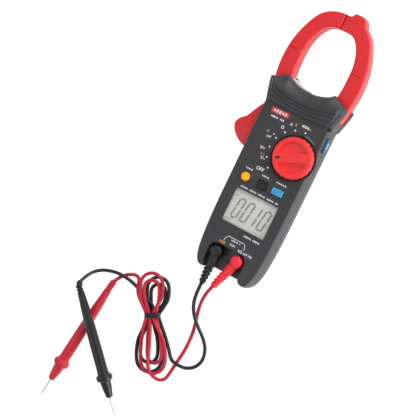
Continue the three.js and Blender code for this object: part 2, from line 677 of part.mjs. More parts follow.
// The gathered middle of both leads, pinched in where the tie holds it.
function hankOutline() {
  const half = [
    [-37, 7.5], [-28, 13.5], [-14, 13.5], [0, 8.6], [14, 13], [27, 17], [40, 16.5], [50, 13], [58, 8],
  ];
  const points = [[-41, 0], ...half, [62, 0], ...half.map(([u, v]) => [u, -v]).reverse(), [-41, 0]];
  const spline = new THREE.SplineCurve(points.map(([u, v]) => new THREE.Vector2(u, v)));
  return new THREE.Shape(spline.getPoints(36));
}

function addLeads() {
  addPlug('com', leadBlack(), COM_SOCKET_X, 0);
  addPlug('volt', leadRed(), VOLT_SOCKET_X, VOLT_PLUG_TURN);
  addProbe('com', leadBlack(), COM_PROBE);
  addProbe('volt', leadRed(), VOLT_PROBE);

  addPart('com_plug_cord', leadBlack(), tube(COM_PLUG_CORD, CORD_RADIUS, 22));
  addPart('volt_plug_cord', leadRed(), tube(VOLT_PLUG_CORD, CORD_RADIUS, 18));
  addPart('com_probe_cord', leadBlack(), tube(COM_PROBE_CORD, CORD_RADIUS, 14));
  addPart('volt_probe_cord', leadRed(), tube(VOLT_PROBE_CORD, CORD_RADIUS, 8));

  const hank = addGroup(...HANK_CENTRE, HANK_TURN);
  const waist = box(-3.2, 3.2, -20, 20, -1, 1.6);
  addPart('lead_hank', leadRed(), cut(slab(hankOutline(), 0.2, HANK_HEIGHT), waist), hank);
  const band = cut(box(-2.6, 2.6, -11.1, 11.1, 0.1, 12.5), box(-5, 5, -9.9, 9.9, 1.3, 11.3));
  addPart('lead_tie', leadBlack(), band, hank);
}

// ---------------------------------------------------------------- assembly

addCase();
addJaws();
addDial();
addButtons();
addDisplay();
addElectronics();
addLeads();

export default meter;
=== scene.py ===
"""A clamp meter on its back with its two test leads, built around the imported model. Lengths are in mm."""

import math

import bmesh
import bpy
from mathutils import Matrix, Vector


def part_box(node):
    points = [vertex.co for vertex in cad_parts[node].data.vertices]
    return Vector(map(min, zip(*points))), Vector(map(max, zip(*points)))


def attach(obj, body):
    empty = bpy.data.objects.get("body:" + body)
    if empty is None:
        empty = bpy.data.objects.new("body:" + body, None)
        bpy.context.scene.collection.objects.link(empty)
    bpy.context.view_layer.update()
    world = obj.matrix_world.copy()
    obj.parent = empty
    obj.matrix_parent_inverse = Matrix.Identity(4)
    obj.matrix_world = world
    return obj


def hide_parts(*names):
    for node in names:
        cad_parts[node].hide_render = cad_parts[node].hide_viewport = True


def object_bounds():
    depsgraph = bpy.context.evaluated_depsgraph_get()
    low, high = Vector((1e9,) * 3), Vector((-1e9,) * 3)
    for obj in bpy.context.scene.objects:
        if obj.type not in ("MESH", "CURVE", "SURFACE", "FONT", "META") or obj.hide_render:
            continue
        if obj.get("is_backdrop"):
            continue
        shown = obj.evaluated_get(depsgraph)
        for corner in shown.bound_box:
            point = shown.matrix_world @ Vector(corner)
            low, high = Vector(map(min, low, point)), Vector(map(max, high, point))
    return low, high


MM = 0.001

# The part's driving dimensions, with +Y to the jaws and +Z out of the front face.
GAP, WALL = 0.3, 2.2
FRONT, PARTING, GRIP_TOP = 36.0, 24.0, 46.0
JAW_SPLIT = -2.0
DIAL_ANGLE, DIAL_RADIUS, DIAL_SEAT = 202.5, 19.8, 34.3
WINDOW_SIZE, DIGIT_SIZE = (45.0, 33.0), (5.6, 19.2)
HOLD_LENGTH, HOLD_HEIGHT = 13.6, 7.6
SOCKET_FLOOR, PLUG_ARM_Z, VOLT_TURN = 26.0, 31.2, -19.8

# The leads. Their lengths are in metres, from inside the plug to inside the probe. A probe is (tip, rear).
CORD = 3.5
HANK_TURN = -62.8
TIE_WIDTH, TIE_HEIGHT, TIE_MIDDLE = 15.8, 11.0, 5.55
COM_PROBE = ((-44.3, -304.2, 3.1), (-127.7, -207.8, 20.2))
VOLT_PROBE = ((-121.8, -322.9, 9.6), (-106.0, -194.6, 4.9))

# The camera: what it aims at, how far off it stands, and the directions back to it and up.
LENS, SENSOR = 101.55, 36.0
AIM, AIM_DISTANCE = (-35.8, -76.9, 36.0), 1100.0
CAMERA_BACK, CAMERA_UP = (0.3275, 0.1173, 0.9375), (-0.4427, 0.8956, 0.0426)

# The studio: area lights as (name, place and size in metres, watts), and how bright floor and world are.
LIGHTS = (
    ("key", (0.8, 2.1, 1.5), 1.2, 34),
    ("side", (2.5, 0.3, 0.5), 1.3, 41),
    ("fill", (-1.2, -1.2, 2.0), 1.6, 9),
)
FLOOR_GLOW, WORLD_GLOW = 0.84, 0.46

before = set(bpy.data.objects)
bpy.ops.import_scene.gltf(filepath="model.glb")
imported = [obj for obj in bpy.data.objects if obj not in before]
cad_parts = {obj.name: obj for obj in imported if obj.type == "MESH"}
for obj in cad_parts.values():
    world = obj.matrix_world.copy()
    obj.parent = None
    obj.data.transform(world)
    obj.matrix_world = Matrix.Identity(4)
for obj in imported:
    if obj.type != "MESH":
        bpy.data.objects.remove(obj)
CAD_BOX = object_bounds()


def lowest(node):
    """A node's lowest corner in mm."""
    return [round(c / MM, 2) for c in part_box(node)[0]]


def highest(node):
    """A node's highest corner in mm."""
    return [round(c / MM, 2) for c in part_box(node)[1]]


def middle(node):
    """The middle of a node of the part in plan."""
    return tuple(round((a + b) / 2, 2) for a, b in zip(lowest(node)[:2], highest(node)[:2]))


# Where the part's pieces are.
HEAD_HALF = highest("front_case")[0]
JAW_LOW, JAW_HIGH = lowest("moving_jaw_rear")[2], highest("moving_jaw_front")[2]
JAW_MIDDLE = (JAW_LOW + JAW_HIGH) / 2
PIVOT = middle("jaw_pivot_pin")
DIAL, DIAL_TOP = middle("dial_knob"), highest("dial_knob")[2]
WINDOW = middle("display_lens") + WINDOW_SIZE
SELECT, RELATIVE, MINMAX = (middle(key + "_button") for key in ("select", "relative", "minmax"))
HOLD_Y, HOLD_Z = middle("hold_button")[1], (lowest("hold_button")[2] + highest("hold_button")[2]) / 2
SCREWS = [middle(f"case_screw_{i + 1}") for i in range(4)]
COVER_SCREW = middle("battery_cover_screw")
COM_X, VOLT_X, SOCKET_Y = middle("com_socket")[0], *middle("volt_socket")
HANK_CENTRE = middle("lead_tie")


# ---- camera


def make_camera():
    """A long lens with the view that the constants above describe."""
    data = bpy.data.cameras.new("camera")
    data.sensor_width = SENSOR
    data.lens = LENS
    camera = linked("camera", data)
    back = Vector(CAMERA_BACK).normalized()
    right = Vector(CAMERA_UP).cross(back).normalized()
    turn = Matrix((right, back.cross(right), back)).transposed().to_4x4()
    camera.matrix_world = Matrix.Translation((Vector(AIM) + back * AIM_DISTANCE) * MM) @ turn
    bpy.context.scene.camera = camera


# ---- shapes


def linked(name, data):
    """A new object with this data, in the scene."""
    obj = bpy.data.objects.new(name, data)
    bpy.context.scene.collection.objects.link(obj)
    return obj


def piece_from(name, points, faces):
    """An object from points in mm."""
    mesh = bpy.data.meshes.new(name)
    mesh.from_pydata([Vector(p) * MM for p in points], [], faces)
    mesh.update()
    return linked(name, mesh)


def bezier(points, count):
    """Points along a Bezier curve of any degree, without its first one."""
    result = []
    for i in range(1, count + 1):
        t = i / count
        level = [Vector(p) for p in points]
        while len(level) > 1:
            level = [a.lerp(b, t) for a, b in zip(level, level[1:])]
        result.append(tuple(level[0]))
    return result


def spline(points, count):
    """A smooth line through points: count steps for each stretch, by centripetal Catmull-Rom."""
    pts = [Vector(p) for p in points]
    pts = [pts[0] * 2 - pts[1]] + pts + [pts[-1] * 2 - pts[-2]]
    result = []
    for p0, p1, p2, p3 in zip(pts, pts[1:], pts[2:], pts[3:]):
        t1 = (p1 - p0).length ** 0.5
        t2 = t1 + (p2 - p1).length ** 0.5
        t3 = t2 + (p3 - p2).length ** 0.5
        for i in range(count):
            t = t1 + (t2 - t1) * i / count
            a1 = p0.lerp(p1, t / t1)
            a2 = p1.lerp(p2, (t - t1) / (t2 - t1))
            a3 = p2.lerp(p3, (t - t2) / (t3 - t2))
            b1 = a1.lerp(a2, t / t2)
            b2 = a2.lerp(a3, (t - t1) / (t3 - t1))
            result.append(b1.lerp(b2, (t - t1) / (t2 - t1)))
    return result + [pts[-2]]


def turned_in(outline, inset):
    """A closed anticlockwise outline moved inwards by inset."""
    if not inset:
        return list(outline)
    result = []
    count = len(outline)
    for i, (x, y) in enumerate(outline):
        before = Vector((x, y)) - Vector(outline[i - 1])
        after = Vector(outline[(i + 1) % count]) - Vector((x, y))
        a, b = before.normalized(), after.normalized()
        normal = Vector((-(a.y + b.y), a.x + b.x))
        if normal.length < 1e-6:
            normal = Vector((-a.y, a.x))
        normal.normalize()
        grow = min(1.6, 1 / max(0.2, normal.dot(Vector((-a.y, a.x)))))
        result.append((x + normal.x * inset * grow, y + normal.y * inset * grow))
    return result


def skin(name, rings):
    """Skins a row of closed rings of points and caps both ends."""
    count = len(rings[0])
    faces = [tuple(reversed(range(count)))]
    for first in range(0, (len(rings) - 1) * count, count):
        for i in range(count):
            a, b = first + i, first + (i + 1) % count
            faces.append((a, b, b + count, a + count))
    faces.append(tuple(range((len(rings) - 1) * count, len(rings) * count)))
    return piece_from(name, [p for ring in rings for p in ring], faces)


def loft(name, levels):
    """Skins a stack of level outlines, each (z, outline)."""
    return skin(name, [[(x, y, z) for x, y in outline] for z, outline in levels])


def quarter(steps):
    """The sine and cosine at even steps of a quarter turn, or at its start for no steps."""
    angles = [math.pi / 2 * i / max(1, steps) for i in range(steps + 1)]
    return [(math.sin(angle), math.cos(angle)) for angle in angles]


def prism(name, outline, z0, z1, round_top=0.0, round_bottom=0.0, steps=4):
    """An upright prism with quarter-round edges of the given radii."""
    low, high = quarter(steps if round_bottom else 0), quarter(steps if round_top else 0)
    rings = [(z0 + round_bottom * (1 - c), round_bottom * (1 - s)) for s, c in low]
    rings += [(z1 - round_top * (1 - s), round_top * (1 - c)) for s, c in high]
    return loft(name, [(z, turned_in(outline, inset)) for z, inset in rings])


def on_circle(x, y, radius, angle):
    """The point at an angle on a circle."""
    return (x + radius * math.cos(angle), y + radius * math.sin(angle))


def rectangle(x, y, width, height, radius=0.0, steps=5):
    """An anticlockwise rectangle with round corners, by its centre."""
    if not radius:
        w, h = width / 2, height / 2
        return [(x - w, y - h), (x + w, y - h), (x + w, y + h), (x - w, y + h)]
    corners = []
    for k, (sx, sy) in enumerate(((1, -1), (1, 1), (-1, 1), (-1, -1))):
        cx, cy = x + sx * (width / 2 - radius), y + sy * (height / 2 - radius)
        for i in range(steps + 1):
            corners.append(on_circle(cx, cy, radius, math.pi / 2 * (k - 1 + i / steps)))
    return corners


def circle(x, y, radius, count=48):
    """An anticlockwise ring of points."""
    return [on_circle(x, y, radius, math.tau * i / count) for i in range(count)]


def block(name, x0, x1, y0, y1, z0, z1):
    """A plain box between two corners."""
    return prism(name, rectangle((x0 + x1) / 2, (y0 + y1) / 2, x1 - x0, y1 - y0), z0, z1)


def lathe(name, profile, matrix, count):
    """Revolves (radius, height) pairs about Z and places the result; the ends lie on the axis."""
    inner = profile[1:-1]
    points = [(0, 0, profile[0][1])]
    for r, z in inner:
        points += [(x, y, z) for x, y in circle(0, 0, r, count)]
    points.append((0, 0, profile[-1][1]))
    faces = [(0, 1 + (i + 1) % count, 1 + i) for i in range(count)]
    for level in range(len(inner) - 1):
        low = 1 + level * count
        for i in range(count):
            j = (i + 1) % count
            faces.append((low + i, low + j, low + j + count, low + i + count))
    low, top = 1 + (len(inner) - 1) * count, len(points) - 1
    faces += [(low + i, low + (i + 1) % count, top) for i in range(count)]
    return piece_from(name, [matrix @ Vector(p) for p in points], faces)


def rounded(profile, radius, steps=3):
    """Rounds the corners of a lathe profile."""
    result = [profile[0]]
    for a, b, c in zip(profile, profile[1:], profile[2:]):
        a, b, c = Vector(a), Vector(b), Vector(c)
        r = min(radius, (b - a).length * 0.45, (c - b).length * 0.45)
        start, end = b.lerp(a, r / (b - a).length), b.lerp(c, r / (c - b).length)
        result.append(tuple(start))
        result += bezier((start, b, end), steps)
    return result + [profile[-1]]


def placed(x, y, z, turn):
    """The matrix that turns about Z by so many degrees and then shifts."""
    return Matrix.Translation((x, y, z)) @ Matrix.Rotation(math.radians(turn), 4, "Z")


def join(obj, *others):
    """Adds solids to obj."""
    return solid_edit(obj, others, "UNION")


def cut(obj, *others):
    """Takes solids out of obj."""
    return solid_edit(obj, others, "DIFFERENCE")


def solid_edit(obj, others, operation):
    """Applies boolean joins or cuts in turn and removes the cutters."""
    for other in others:
        modifier = obj.modifiers.new("edit", "BOOLEAN")
        modifier.operation = operation
        modifier.solver = "EXACT"
        modifier.object = other
        bake(obj)
        bpy.data.objects.remove(other)
    return obj


def bake(obj):
    """Applies every modifier on the object."""
    graph = bpy.context.evaluated_depsgraph_get()
    mesh = bpy.data.meshes.new_from_object(obj.evaluated_get(graph))
    obj.modifiers.clear()
    obj.data = mesh
    return obj


def eased(obj, width, limit=50, segments=2):
    """Rounds the sharp edges that cutting leaves."""
    bevel = obj.modifiers.new("edges", "BEVEL")
    bevel.width = width * MM
    bevel.segments = segments
    bevel.limit_method = "ANGLE"
    bevel.angle_limit = math.radians(limit)
    bevel.use_clamp_overlap = True
    return bake(obj)


def shade(obj, limit):
    """Smooth shading with hard edges where faces meet at more than limit degrees."""
    bm = bmesh.new()
    bm.from_mesh(obj.data)
    bmesh.ops.remove_doubles(bm, verts=bm.verts, dist=1e-7)
    bmesh.ops.dissolve_degenerate(bm, edges=bm.edges, dist=1e-7)
    bmesh.ops.recalc_face_normals(bm, faces=bm.faces)
    for face in bm.faces:
        face.smooth = True
    for edge in bm.edges:
        edge.smooth = len(edge.link_faces) == 2 and edge.calc_face_angle(0) < math.radians(limit)
    bm.to_mesh(obj.data)
    bm.free()


def paint(obj, look):
    """Gives a piece one look in place of any it has."""
    obj.data.materials.clear()
    obj.data.materials.append(MATERIALS[look])


def dress(obj, body, look, slot, *nodes, limit=38):
    """Finishes a piece: shading, material, the body it rides on and the nodes it stands for. The slot is not
    used.
    """
    shade(obj, limit)
    paint(obj, look)
    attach(obj, body)
    if nodes:
        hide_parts(*nodes)


# ---- materials


def linear(rgb):
    """Screen colour, 0 to 255, to Blender's linear colour."""
    return tuple(((c / 255 + 0.055) / 1.055) ** 2.4 if c > 10 else c / 3294.6 for c in rgb)


def surface(name, rgb, roughness, grain=0.0, grain_size=0.5, mottle=0.06, metallic=0.0, stretch=(1, 1, 1)):
    """A moulded or metal surface with fine grain, soft colour mottling and uneven gloss."""
    material = bpy.data.materials.new(name)
    material.use_nodes = True
    nodes, links = material.node_tree.nodes, material.node_tree.links
    shader = nodes["Principled BSDF"]
    shader.inputs["Metallic"].default_value = metallic
    place = nodes.new("ShaderNodeTexCoord")
    scale = nodes.new("ShaderNodeMapping")
    scale.inputs["Scale"].default_value = stretch
    links.new(place.outputs["Object"], scale.inputs["Vector"])

    def noise(size, detail):
        node = nodes.new("ShaderNodeTexNoise")
        node.inputs["Scale"].default_value = 1 / (size * MM)
        node.inputs["Detail"].default_value = detail
        links.new(scale.outputs["Vector"], node.inputs["Vector"])
        return node.outputs["Fac"]

    colour = linear(rgb)
    ramp = nodes.new("ShaderNodeMix")
    ramp.data_type = "RGBA"
    factor_in, dark_in, light_in, colour_out = 0, 6, 7, 2      # sockets of the Mix node when it mixes colours
    for socket, factor in ((dark_in, 1 - mottle), (light_in, 1 + mottle)):
        ramp.inputs[socket].default_value = (*[min(1, c * factor) for c in colour], 1)
    links.new(noise(14, 4), ramp.inputs[factor_in])
    links.new(ramp.outputs[colour_out], shader.inputs["Base Color"])
    gloss = nodes.new("ShaderNodeMapRange")
    gloss.inputs["To Min"].default_value = max(0.02, roughness - 0.08)
    gloss.inputs["To Max"].default_value = min(1, roughness + 0.08)
    links.new(noise(5, 3), gloss.inputs["Value"])
    links.new(gloss.outputs["Result"], shader.inputs["Roughness"])
    if grain:
        bump = nodes.new("ShaderNodeBump")
        bump.inputs["Strength"].default_value = grain
        bump.inputs["Distance"].default_value = grain_size * 0.12 * MM
        links.new(noise(grain_size, 3), bump.inputs["Height"])
        links.new(bump.outputs["Normal"], shader.inputs["Normal"])
    return material


def wound_copper():
    """Turns of enamelled wire, as fine ridges along Y."""
    material = surface("copper_winding", (176, 104, 60), 0.35, metallic=0.9)
    nodes, links = material.node_tree.nodes, material.node_tree.links
    wave = nodes.new("ShaderNodeTexWave")
    wave.bands_direction = "Y"
    wave.inputs["Scale"].default_value = 500
    place = nodes.new("ShaderNodeTexCoord")
    links.new(place.outputs["Object"], wave.inputs["Vector"])
    bump = nodes.new("ShaderNodeBump")
    bump.inputs["Strength"].default_value = 0.9
    bump.inputs["Distance"].default_value = 0.0002
    links.new(wave.outputs["Fac"], bump.inputs["Height"])
    links.new(bump.outputs["Normal"], nodes["Principled BSDF"].inputs["Normal"])
    return material


def clear_window():
    """Clear plastic that mostly shows what lies behind it."""
    material = surface("window_clear", (222, 228, 226), 0.08, mottle=0.01)
    material.node_tree.nodes["Principled BSDF"].inputs["Alpha"].default_value = 0.14
    return material


# Plain looks: name, colour, roughness, strength and size of the grain, mottling, and for metals how metallic
# and how the grain is stretched.
LOOKS = {
    "case": ("case_charcoal", (56, 56, 59), 0.46, 0.5, 0.45, 0.07),
    "jaw": ("jaw_red", (230, 42, 48), 0.38, 0.12, 0.9, 0.04),
    "knob": ("dial_red", (250, 54, 58), 0.36, 0.12, 0.7, 0.04),
    "lead_red": ("lead_red", (192, 26, 56), 0.42, 0.15, 1.2, 0.06),
    "lead_black": ("lead_black", (27, 28, 29), 0.42, 0.2, 1.2, 0.08),
    "probe_black": ("probe_black", (24, 25, 26), 0.36, 0.15, 0.8, 0.08),
    "yellow": ("key_yellow", (255, 196, 18), 0.4, 0.15, 0.6, 0.03),
    "amber": ("key_amber", (196, 120, 20), 0.5, 0.2, 0.6, 0.05),
    "key_black": ("key_black", (22, 23, 25), 0.45, 0.25, 0.5, 0.06),
    "plug_red": ("plug_red", (244, 44, 62), 0.38, 0.12, 0.9, 0.05),
    "blue_dark": ("key_blue_dark", (40, 92, 132), 0.42, 0.2, 0.6, 0.05),
    "blue": ("key_blue", (74, 158, 212), 0.42, 0.2, 0.6, 0.04),
    "steel": ("plated_steel", (172, 173, 172), 0.26, 0.15, 0.3, 0.05, 1.0, (1, 1, 6)),
    "needle": ("bright_steel", (226, 226, 224), 0.36, 0.1, 0.3, 0.04, 0.6, (1, 1, 6)),
    "brass": ("contact_brass", (205, 168, 88), 0.26, 0.12, 0.4, 0.06, 1.0),
    "ferrite": ("core_ferrite", (70, 72, 76), 0.6, 0.5, 0.4, 0.1),
    "board": ("board_green", (24, 98, 52), 0.42, 0.3, 1.4, 0.12),
    "chip": ("moulded_black", (26, 27, 29), 0.4, 0.3, 0.4, 0.08),
    "can": ("switch_can", (160, 164, 168), 0.34, 0.2, 0.5, 0.06, 1.0),
    "acetal": ("natural_acetal", (222, 222, 214), 0.4, 0.15, 0.8, 0.03),
    "ceramic": ("ceramic_body", (216, 202, 162), 0.55, 0.4, 0.4, 0.05),
    "battery": ("battery_can", (150, 154, 160), 0.3, 0.1, 0.6, 0.05, 0.7),
    "elastomer": ("contact_strip", (214, 140, 160), 0.6, 0.3, 0.5, 0.08),
    "lcd": ("display_grey_green", (230, 228, 219), 0.42, 0.05, 2.0, 0.02),
    "segment": ("display_segment", (122, 123, 118), 0.5, 0.05, 1.0, 0.03),
    "backlight": ("diffuser_white", (240, 242, 238), 0.5, 0.1, 1.0, 0.02),
    "white": ("print_white", (232, 233, 236), 0.5, 0.1, 0.4, 0.03),
    "tan": ("print_orange", (214, 150, 74), 0.5, 0.1, 0.4, 0.04),
    # Grey for the painted highlight on the edge of the dial's recess.
    "grey": ("painted_highlight_grey", (104, 106, 106), 0.5, 0.1, 0.4, 0.03),
    "probe_red": ("probe_red", (198, 30, 50), 0.34, 0.12, 0.9, 0.05),
    "badge": ("badge_red", (214, 60, 74), 0.35, 0.1, 0.8, 0.04),
    # Pale grey for the painted highlight on the lit wall of the hollow between the jaws.
    "painted_highlight": ("pale_painted_highlight", (186, 182, 188), 0.35, 0.1, 0.8, 0.04),
}

make_camera()
MATERIALS = {key: surface(*look) for key, look in LOOKS.items()}
MATERIALS["copper"] = wound_copper()
MATERIALS["window"] = clear_window()


# ---- leads

# Both ends of each lead follow the part's own routes, but for the first point of the red lead's probe end.
COM_PLUG_CORD = (
    (-14, -142.6, 31.2), (-14.2, -148, 30.6), (-14.8, -153.7, 28), (-15.4, -163, 22), (-14, -171, 16.8),
    (-10.8, -178.3, 11.8), (-4.4, -186.3, 7), (3.2, -194.2, 3.2), (8.8, -202.3, 2), (10.9, -212.2, 2),
    (8, -220.7, 2), (1.1, -226.5, 3.2), (-7.8, -227.6, 6.4), (-16.6, -226.7, 3.8),
)
VOLT_PLUG_CORD = (
    (-3.15, -140.75, 31.2), (-5.2, -146.3, 29.6), (-8, -154.2, 24.2), (-10.5, -162.6, 16.4),
    (-11.8, -171, 9.4), (-11.6, -180.8, 3.8), (-10.4, -188.5, 2.1), (-9.4, -195.5, 2),
    (-9.1, -210.6, 2), (-11, -226.9, 2), (-13.3, -242.4, 2),
)
COM_PROBE_CORD = (
    (-81, -181.6, 3.4), (-88.2, -179.3, 5), (-95, -178.2, 6.4), (-101.6, -178.2, 6.2),
    (-108, -179.3, 4.6), (-114.6, -181.2, 3.6), (-120.6, -183.6, 4.4), (-126, -187.6, 7.4),
    (-129.1, -192.5, 11.8), (-130.4, -197.6, 16.6), (-130.8, -202, 19.6), (-129.9, -205.2, 20.5),
    (-129, -206.35, 20.44),
)
VOLT_PROBE_CORD = (
    (-86.5, -172.2, 2), (-92.9, -174, 2), (-97.7, -177.4, 2.2), (-101.4, -181.8, 3.6),
    (-104.1, -187, 4.8), (-105.84, -193.3, 4.87),
)


def fold(reach, out, back):
    """A loop from the tie to the hank's end and back; out and back: v at the tie, z, widest v, z there."""
    side = math.copysign(1, reach)
    (v0, z0, w0, h0), (v1, z1, w1, h1) = out, back
    radius, mid = abs(w1 - w0) / 2, (w0 + w1) / 2
    start = reach - side * radius

    def leg(v, z, w, h):
        return (start * 0.28, v + (w - v) * 0.42, z), (start * 0.62, v + (w - v) * 0.9, h)

    bend = []
    for angle in (20, 55, 90, 125, 160):
        s, c = math.sin(math.radians(angle)), math.cos(math.radians(angle))
        bend.append((start + side * radius * s, mid + (w0 - mid) * c, h0 + (h1 - h0) * angle / 180))
    return [(0, v0, z0), *leg(v0, z0, w0, h0), *bend, *reversed(leg(v1, z1, w1, h1))]


def in_hank(points):
    """Places points given in the hank's own directions: along it to its lower end, across it, and height."""
    turn = placed(*HANK_CENTRE, 0, HANK_TURN)
    return [turn @ Vector(p) for p in points]


# The leads' way through the hank, in its own directions. First the heights of the strands: loose ones on the
# table and on one another, and the three rows under the tie.
LOW, HIGH, TOP = 2.0, 5.5, 9.3
ROW_1, ROW_2, ROW_3 = 2.2, 5.2, 8.4
BLACK_IN_HANK = (
    [(31, 15.4, 2.4), (20, 11.8, LOW), (9, 7.6, LOW)]
    + fold(-37, (5.25, ROW_1, 16, LOW), (-5.25, ROW_1, -7, LOW))
    + fold(55, (-5.25, ROW_1, -18.5, LOW), (1.75, ROW_1, 8.5, LOW))
    + fold(-30, (1.75, ROW_1, 12.3, LOW), (-1.75, ROW_1, -3, LOW))
    + fold(46, (-1.75, ROW_1, -14.3, LOW), (0, ROW_2, 4, LOW))
    + [(0, 0, ROW_2), (-8, -0.4, 4), (-13.5, -3.2, 5.2), (-18.5, -8.5, 5.6), (-23, -13.4, 5)]
)
RED_IN_HANK = (
    [(61.2, 11.6, 2.1), (62.4, 7.2, 2.7), (60.6, 2.4, 4.2), (56, -1.6, 6.6), (49.5, -3.2, 8.8),
     (40, -2.6, 9.4), (27, -1.6, 9.4), (12, -1.2, 8.9)]
    + fold(-34, (-1.75, ROW_3, -7.2, TOP), (3.5, ROW_2, 7.2, HIGH))
    + fold(46, (3.5, ROW_2, 9.4, HIGH), (-3.5, ROW_2, -5.2, HIGH))
    + fold(-41, (-3.5, ROW_2, -11, TOP), (1.75, ROW_3, 10.8, HIGH))
    + fold(56, (1.75, ROW_3, 13.2, HIGH), (-5.25, ROW_3, -12.6, HIGH))
    + [(0, -5.25, ROW_3), (-9, -8.4, 9), (-16.5, -11.9, 9.4), (-22, -13.9, 8.8), (-27, -14.7, 6.8),
       (-31.9, -14.9, 4.4), (-35.8, -15.8, 2.9)]
)


def along(tip, rear, distance):
    """The point inside a probe at a distance from its tip."""
    a, b = Vector(tip), Vector(rear)
    return a + (b - a).normalized() * distance


def make_lead(name, plug_end, through_hank, probe_end, probe, look, nodes):
    """One lead as one cord, from inside its plug to inside its probe's handle."""
    inside = [along(*probe, distance) for distance in (124, 110, 92, 74, 62)]
    start = Vector(plug_end[0]) * 2 - Vector(plug_end[1])
    route = [start, *plug_end, *in_hank(through_hank), *probe_end, *inside]
    line = spline(route, 5)
    curve = bpy.data.curves.new(name, "CURVE")
    curve.dimensions = "3D"
    curve.bevel_depth = CORD / 2 * MM
    curve.bevel_resolution = 4
    curve.use_fill_caps = True
    run = curve.splines.new("POLY")
    run.points.add(len(line) - 1)
    for point, place in zip(run.points, line):
        point.co = (*(place * MM), 1)
    cord = linked(name, curve)
    curve.materials.append(MATERIALS[look])
    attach(cord, "meter")
    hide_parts(*nodes)
    return cord


def standing(tip, rear):
    """The matrix that lays +Z along the line from tip to rear, from the tip."""
    a, b = Vector(tip), Vector(rear)
    turn = (b - a).to_track_quat("Z", "Y").to_matrix().to_4x4()
    return Matrix.Translation(a) @ turn


# A probe's needle, and its front cone, finger flange and tapering handle: radius, and distance from the tip.
NEEDLE = ((0, 0), (0.55, 0.5), (1.15, 3.4), (1.15, 18.4), (0, 18.4))
HANDLE = (
    (0, 18.5), (2.9, 18.5), (3.3, 19.4), (4.6, 27), (5.4, 34.6), (7.6, 36), (8.1, 38.2), (7.9, 40.6),
    (5.8, 42.2), (5.45, 45.5), (5.4, 60), (5.3, 75), (5.1, 88), (4.75, 100), (4.25, 111), (3.75, 119),
    (3.5, 123.6), (3.0, 124.4), (0, 124.4),
)


def make_probe(name, probe, cord_end, look, slot):
    """A probe: its needle, and its handle with the sleeve on the cord."""
    place = standing(*probe)
    needle = lathe(name + "_needle", rounded(NEEDLE, 0.3), place, 24)
    dress(needle, "meter", "needle", "steel", name + "_tip")
    handle = lathe(name + "_handle", rounded(HANDLE, 0.5), place, 48)
    merge(handle, ribbed_sleeve(name + "_sleeve", [along(*probe, 121), along(*probe, 126), *cord_end]))
    dress(handle, "meter", look, slot, name, limit=60)
    return needle, handle


def ribbed_sleeve(name, route, length=15.5, pitch=3.1):
    """The strain relief: rings along the start of a bent cord."""
    line, radii, run = [], [], 0.0
    path = spline(route, 24)
    for a, b in zip(path, path[1:]):
        if run > length:
            break
        line.append(a)
        swell = min(1.0, max(0.0, 1.6 * math.sin(math.tau * run / pitch) + 0.4))
        radii.append(2.7 + (1.1 - 0.03 * run) * swell)
        run += (b - a).length
    return tube(name, line, radii, 20)


def make_plug(name, x, turn, look, slot):
    """A right-angle plug: round head over the socket, tapering arm, ribbed relief."""
    place = placed(x, SOCKET_Y, 0, turn)
    floor = SOCKET_FLOOR + GAP
    head = lathe(name + "_body", rounded([
        (0, floor), (5.6, floor), (6.1, 28), (6.1, 34.4), (5.3, 36.6), (3, 37.6), (0, 37.9),
    ], 0.8, 4), place, 48)
    ribs = []
    for i in range(4):
        z, r = 18.4 + 3.7 * i, 4.4 - 0.3 * i
        ribs += [(r - 1.0, z - 0.4), (r, z), (r, z + 1.9), (r - 1.05, z + 2.2)]
    lean = place @ Matrix.Translation((0, 0, PLUG_ARM_Z)) @ Matrix.Rotation(math.radians(90), 4, "X")
    arm = lathe(name + "_arm", rounded([
        (0, 0), (4.9, 0.1), (4.88, 9), (4.35, 15.5), (3.6, 17.6), *ribs, (2.6, 32.2), (2.3, 33.7), (0, 33.7),
    ], 0.4), lean, 40)
    join(head, arm)
    dress(head, "meter", look, slot, name, limit=50)
    return head


def make_tie():
    """A wire tie: two flat turns round the waist and a twisted end lying on top."""
    path = rectangle(0, 0, TIE_WIDTH, TIE_HEIGHT, 4.4, 6)
    turn = placed(*HANK_CENTRE, 0, HANK_TURN)
    points, faces = [], []
    count = len(path)
    for shift in (-1.35, 1.35):
        first = len(points)
        for inset, reach in ((0.25, -1.15), (0, -0.85), (0, 0.85), (0.25, 1.15), (0.65, 1.15), (0.65, -1.15)):
            points += [turn @ Vector((shift + reach, v, TIE_MIDDLE + z)) for v, z in turned_in(path, inset)]
        for k in range(6):
            ring, above = first + k * count, first + (k + 1) % 6 * count
            for i in range(count):
                j = (i + 1) % count
                faces.append((ring + i, ring + j, above + j, above + i))
    band = piece_from("lead_tie_band", points, faces)
    wire, turns, steps = 0.75, 3.2, 39
    for side in (1, -1):
        twist = []
        for i in range(steps + 1):
            phase = math.tau * turns * i / steps
            u, z = side * 0.8 * math.cos(phase), 11.9 + side * wire * math.sin(phase)
            twist.append(turn @ Vector((u, 0.5 + 7.5 * i / steps, z)))
        merge(band, tube("tie_twist", twist, [wire] * len(twist), 10))
    dress(band, "meter", "lead_black", "lead_black", "lead_tie", limit=50)
    return band


def tube(name, line, radii, sides):
    """A closed round tube along a line of points, with a radius for each."""
    rings = []
    for i, (p, radius) in enumerate(zip(line, radii)):
        ahead = line[min(i + 1, len(line) - 1)] - line[max(i - 1, 0)]
        across = ahead.cross(Vector((0.05, 0.02, 1))).normalized()
        over = across.cross(ahead).normalized()
        rings.append([p + across * x + over * y for x, y in circle(0, 0, radius, sides)])
    return skin(name, rings)


def merge(obj, other):
    """Adds the other object's mesh to obj as it is."""
    bm = bmesh.new()
    bm.from_mesh(obj.data)
    bm.from_mesh(other.data)
    bm.to_mesh(obj.data)
    bm.free()
    bpy.data.objects.remove(other)


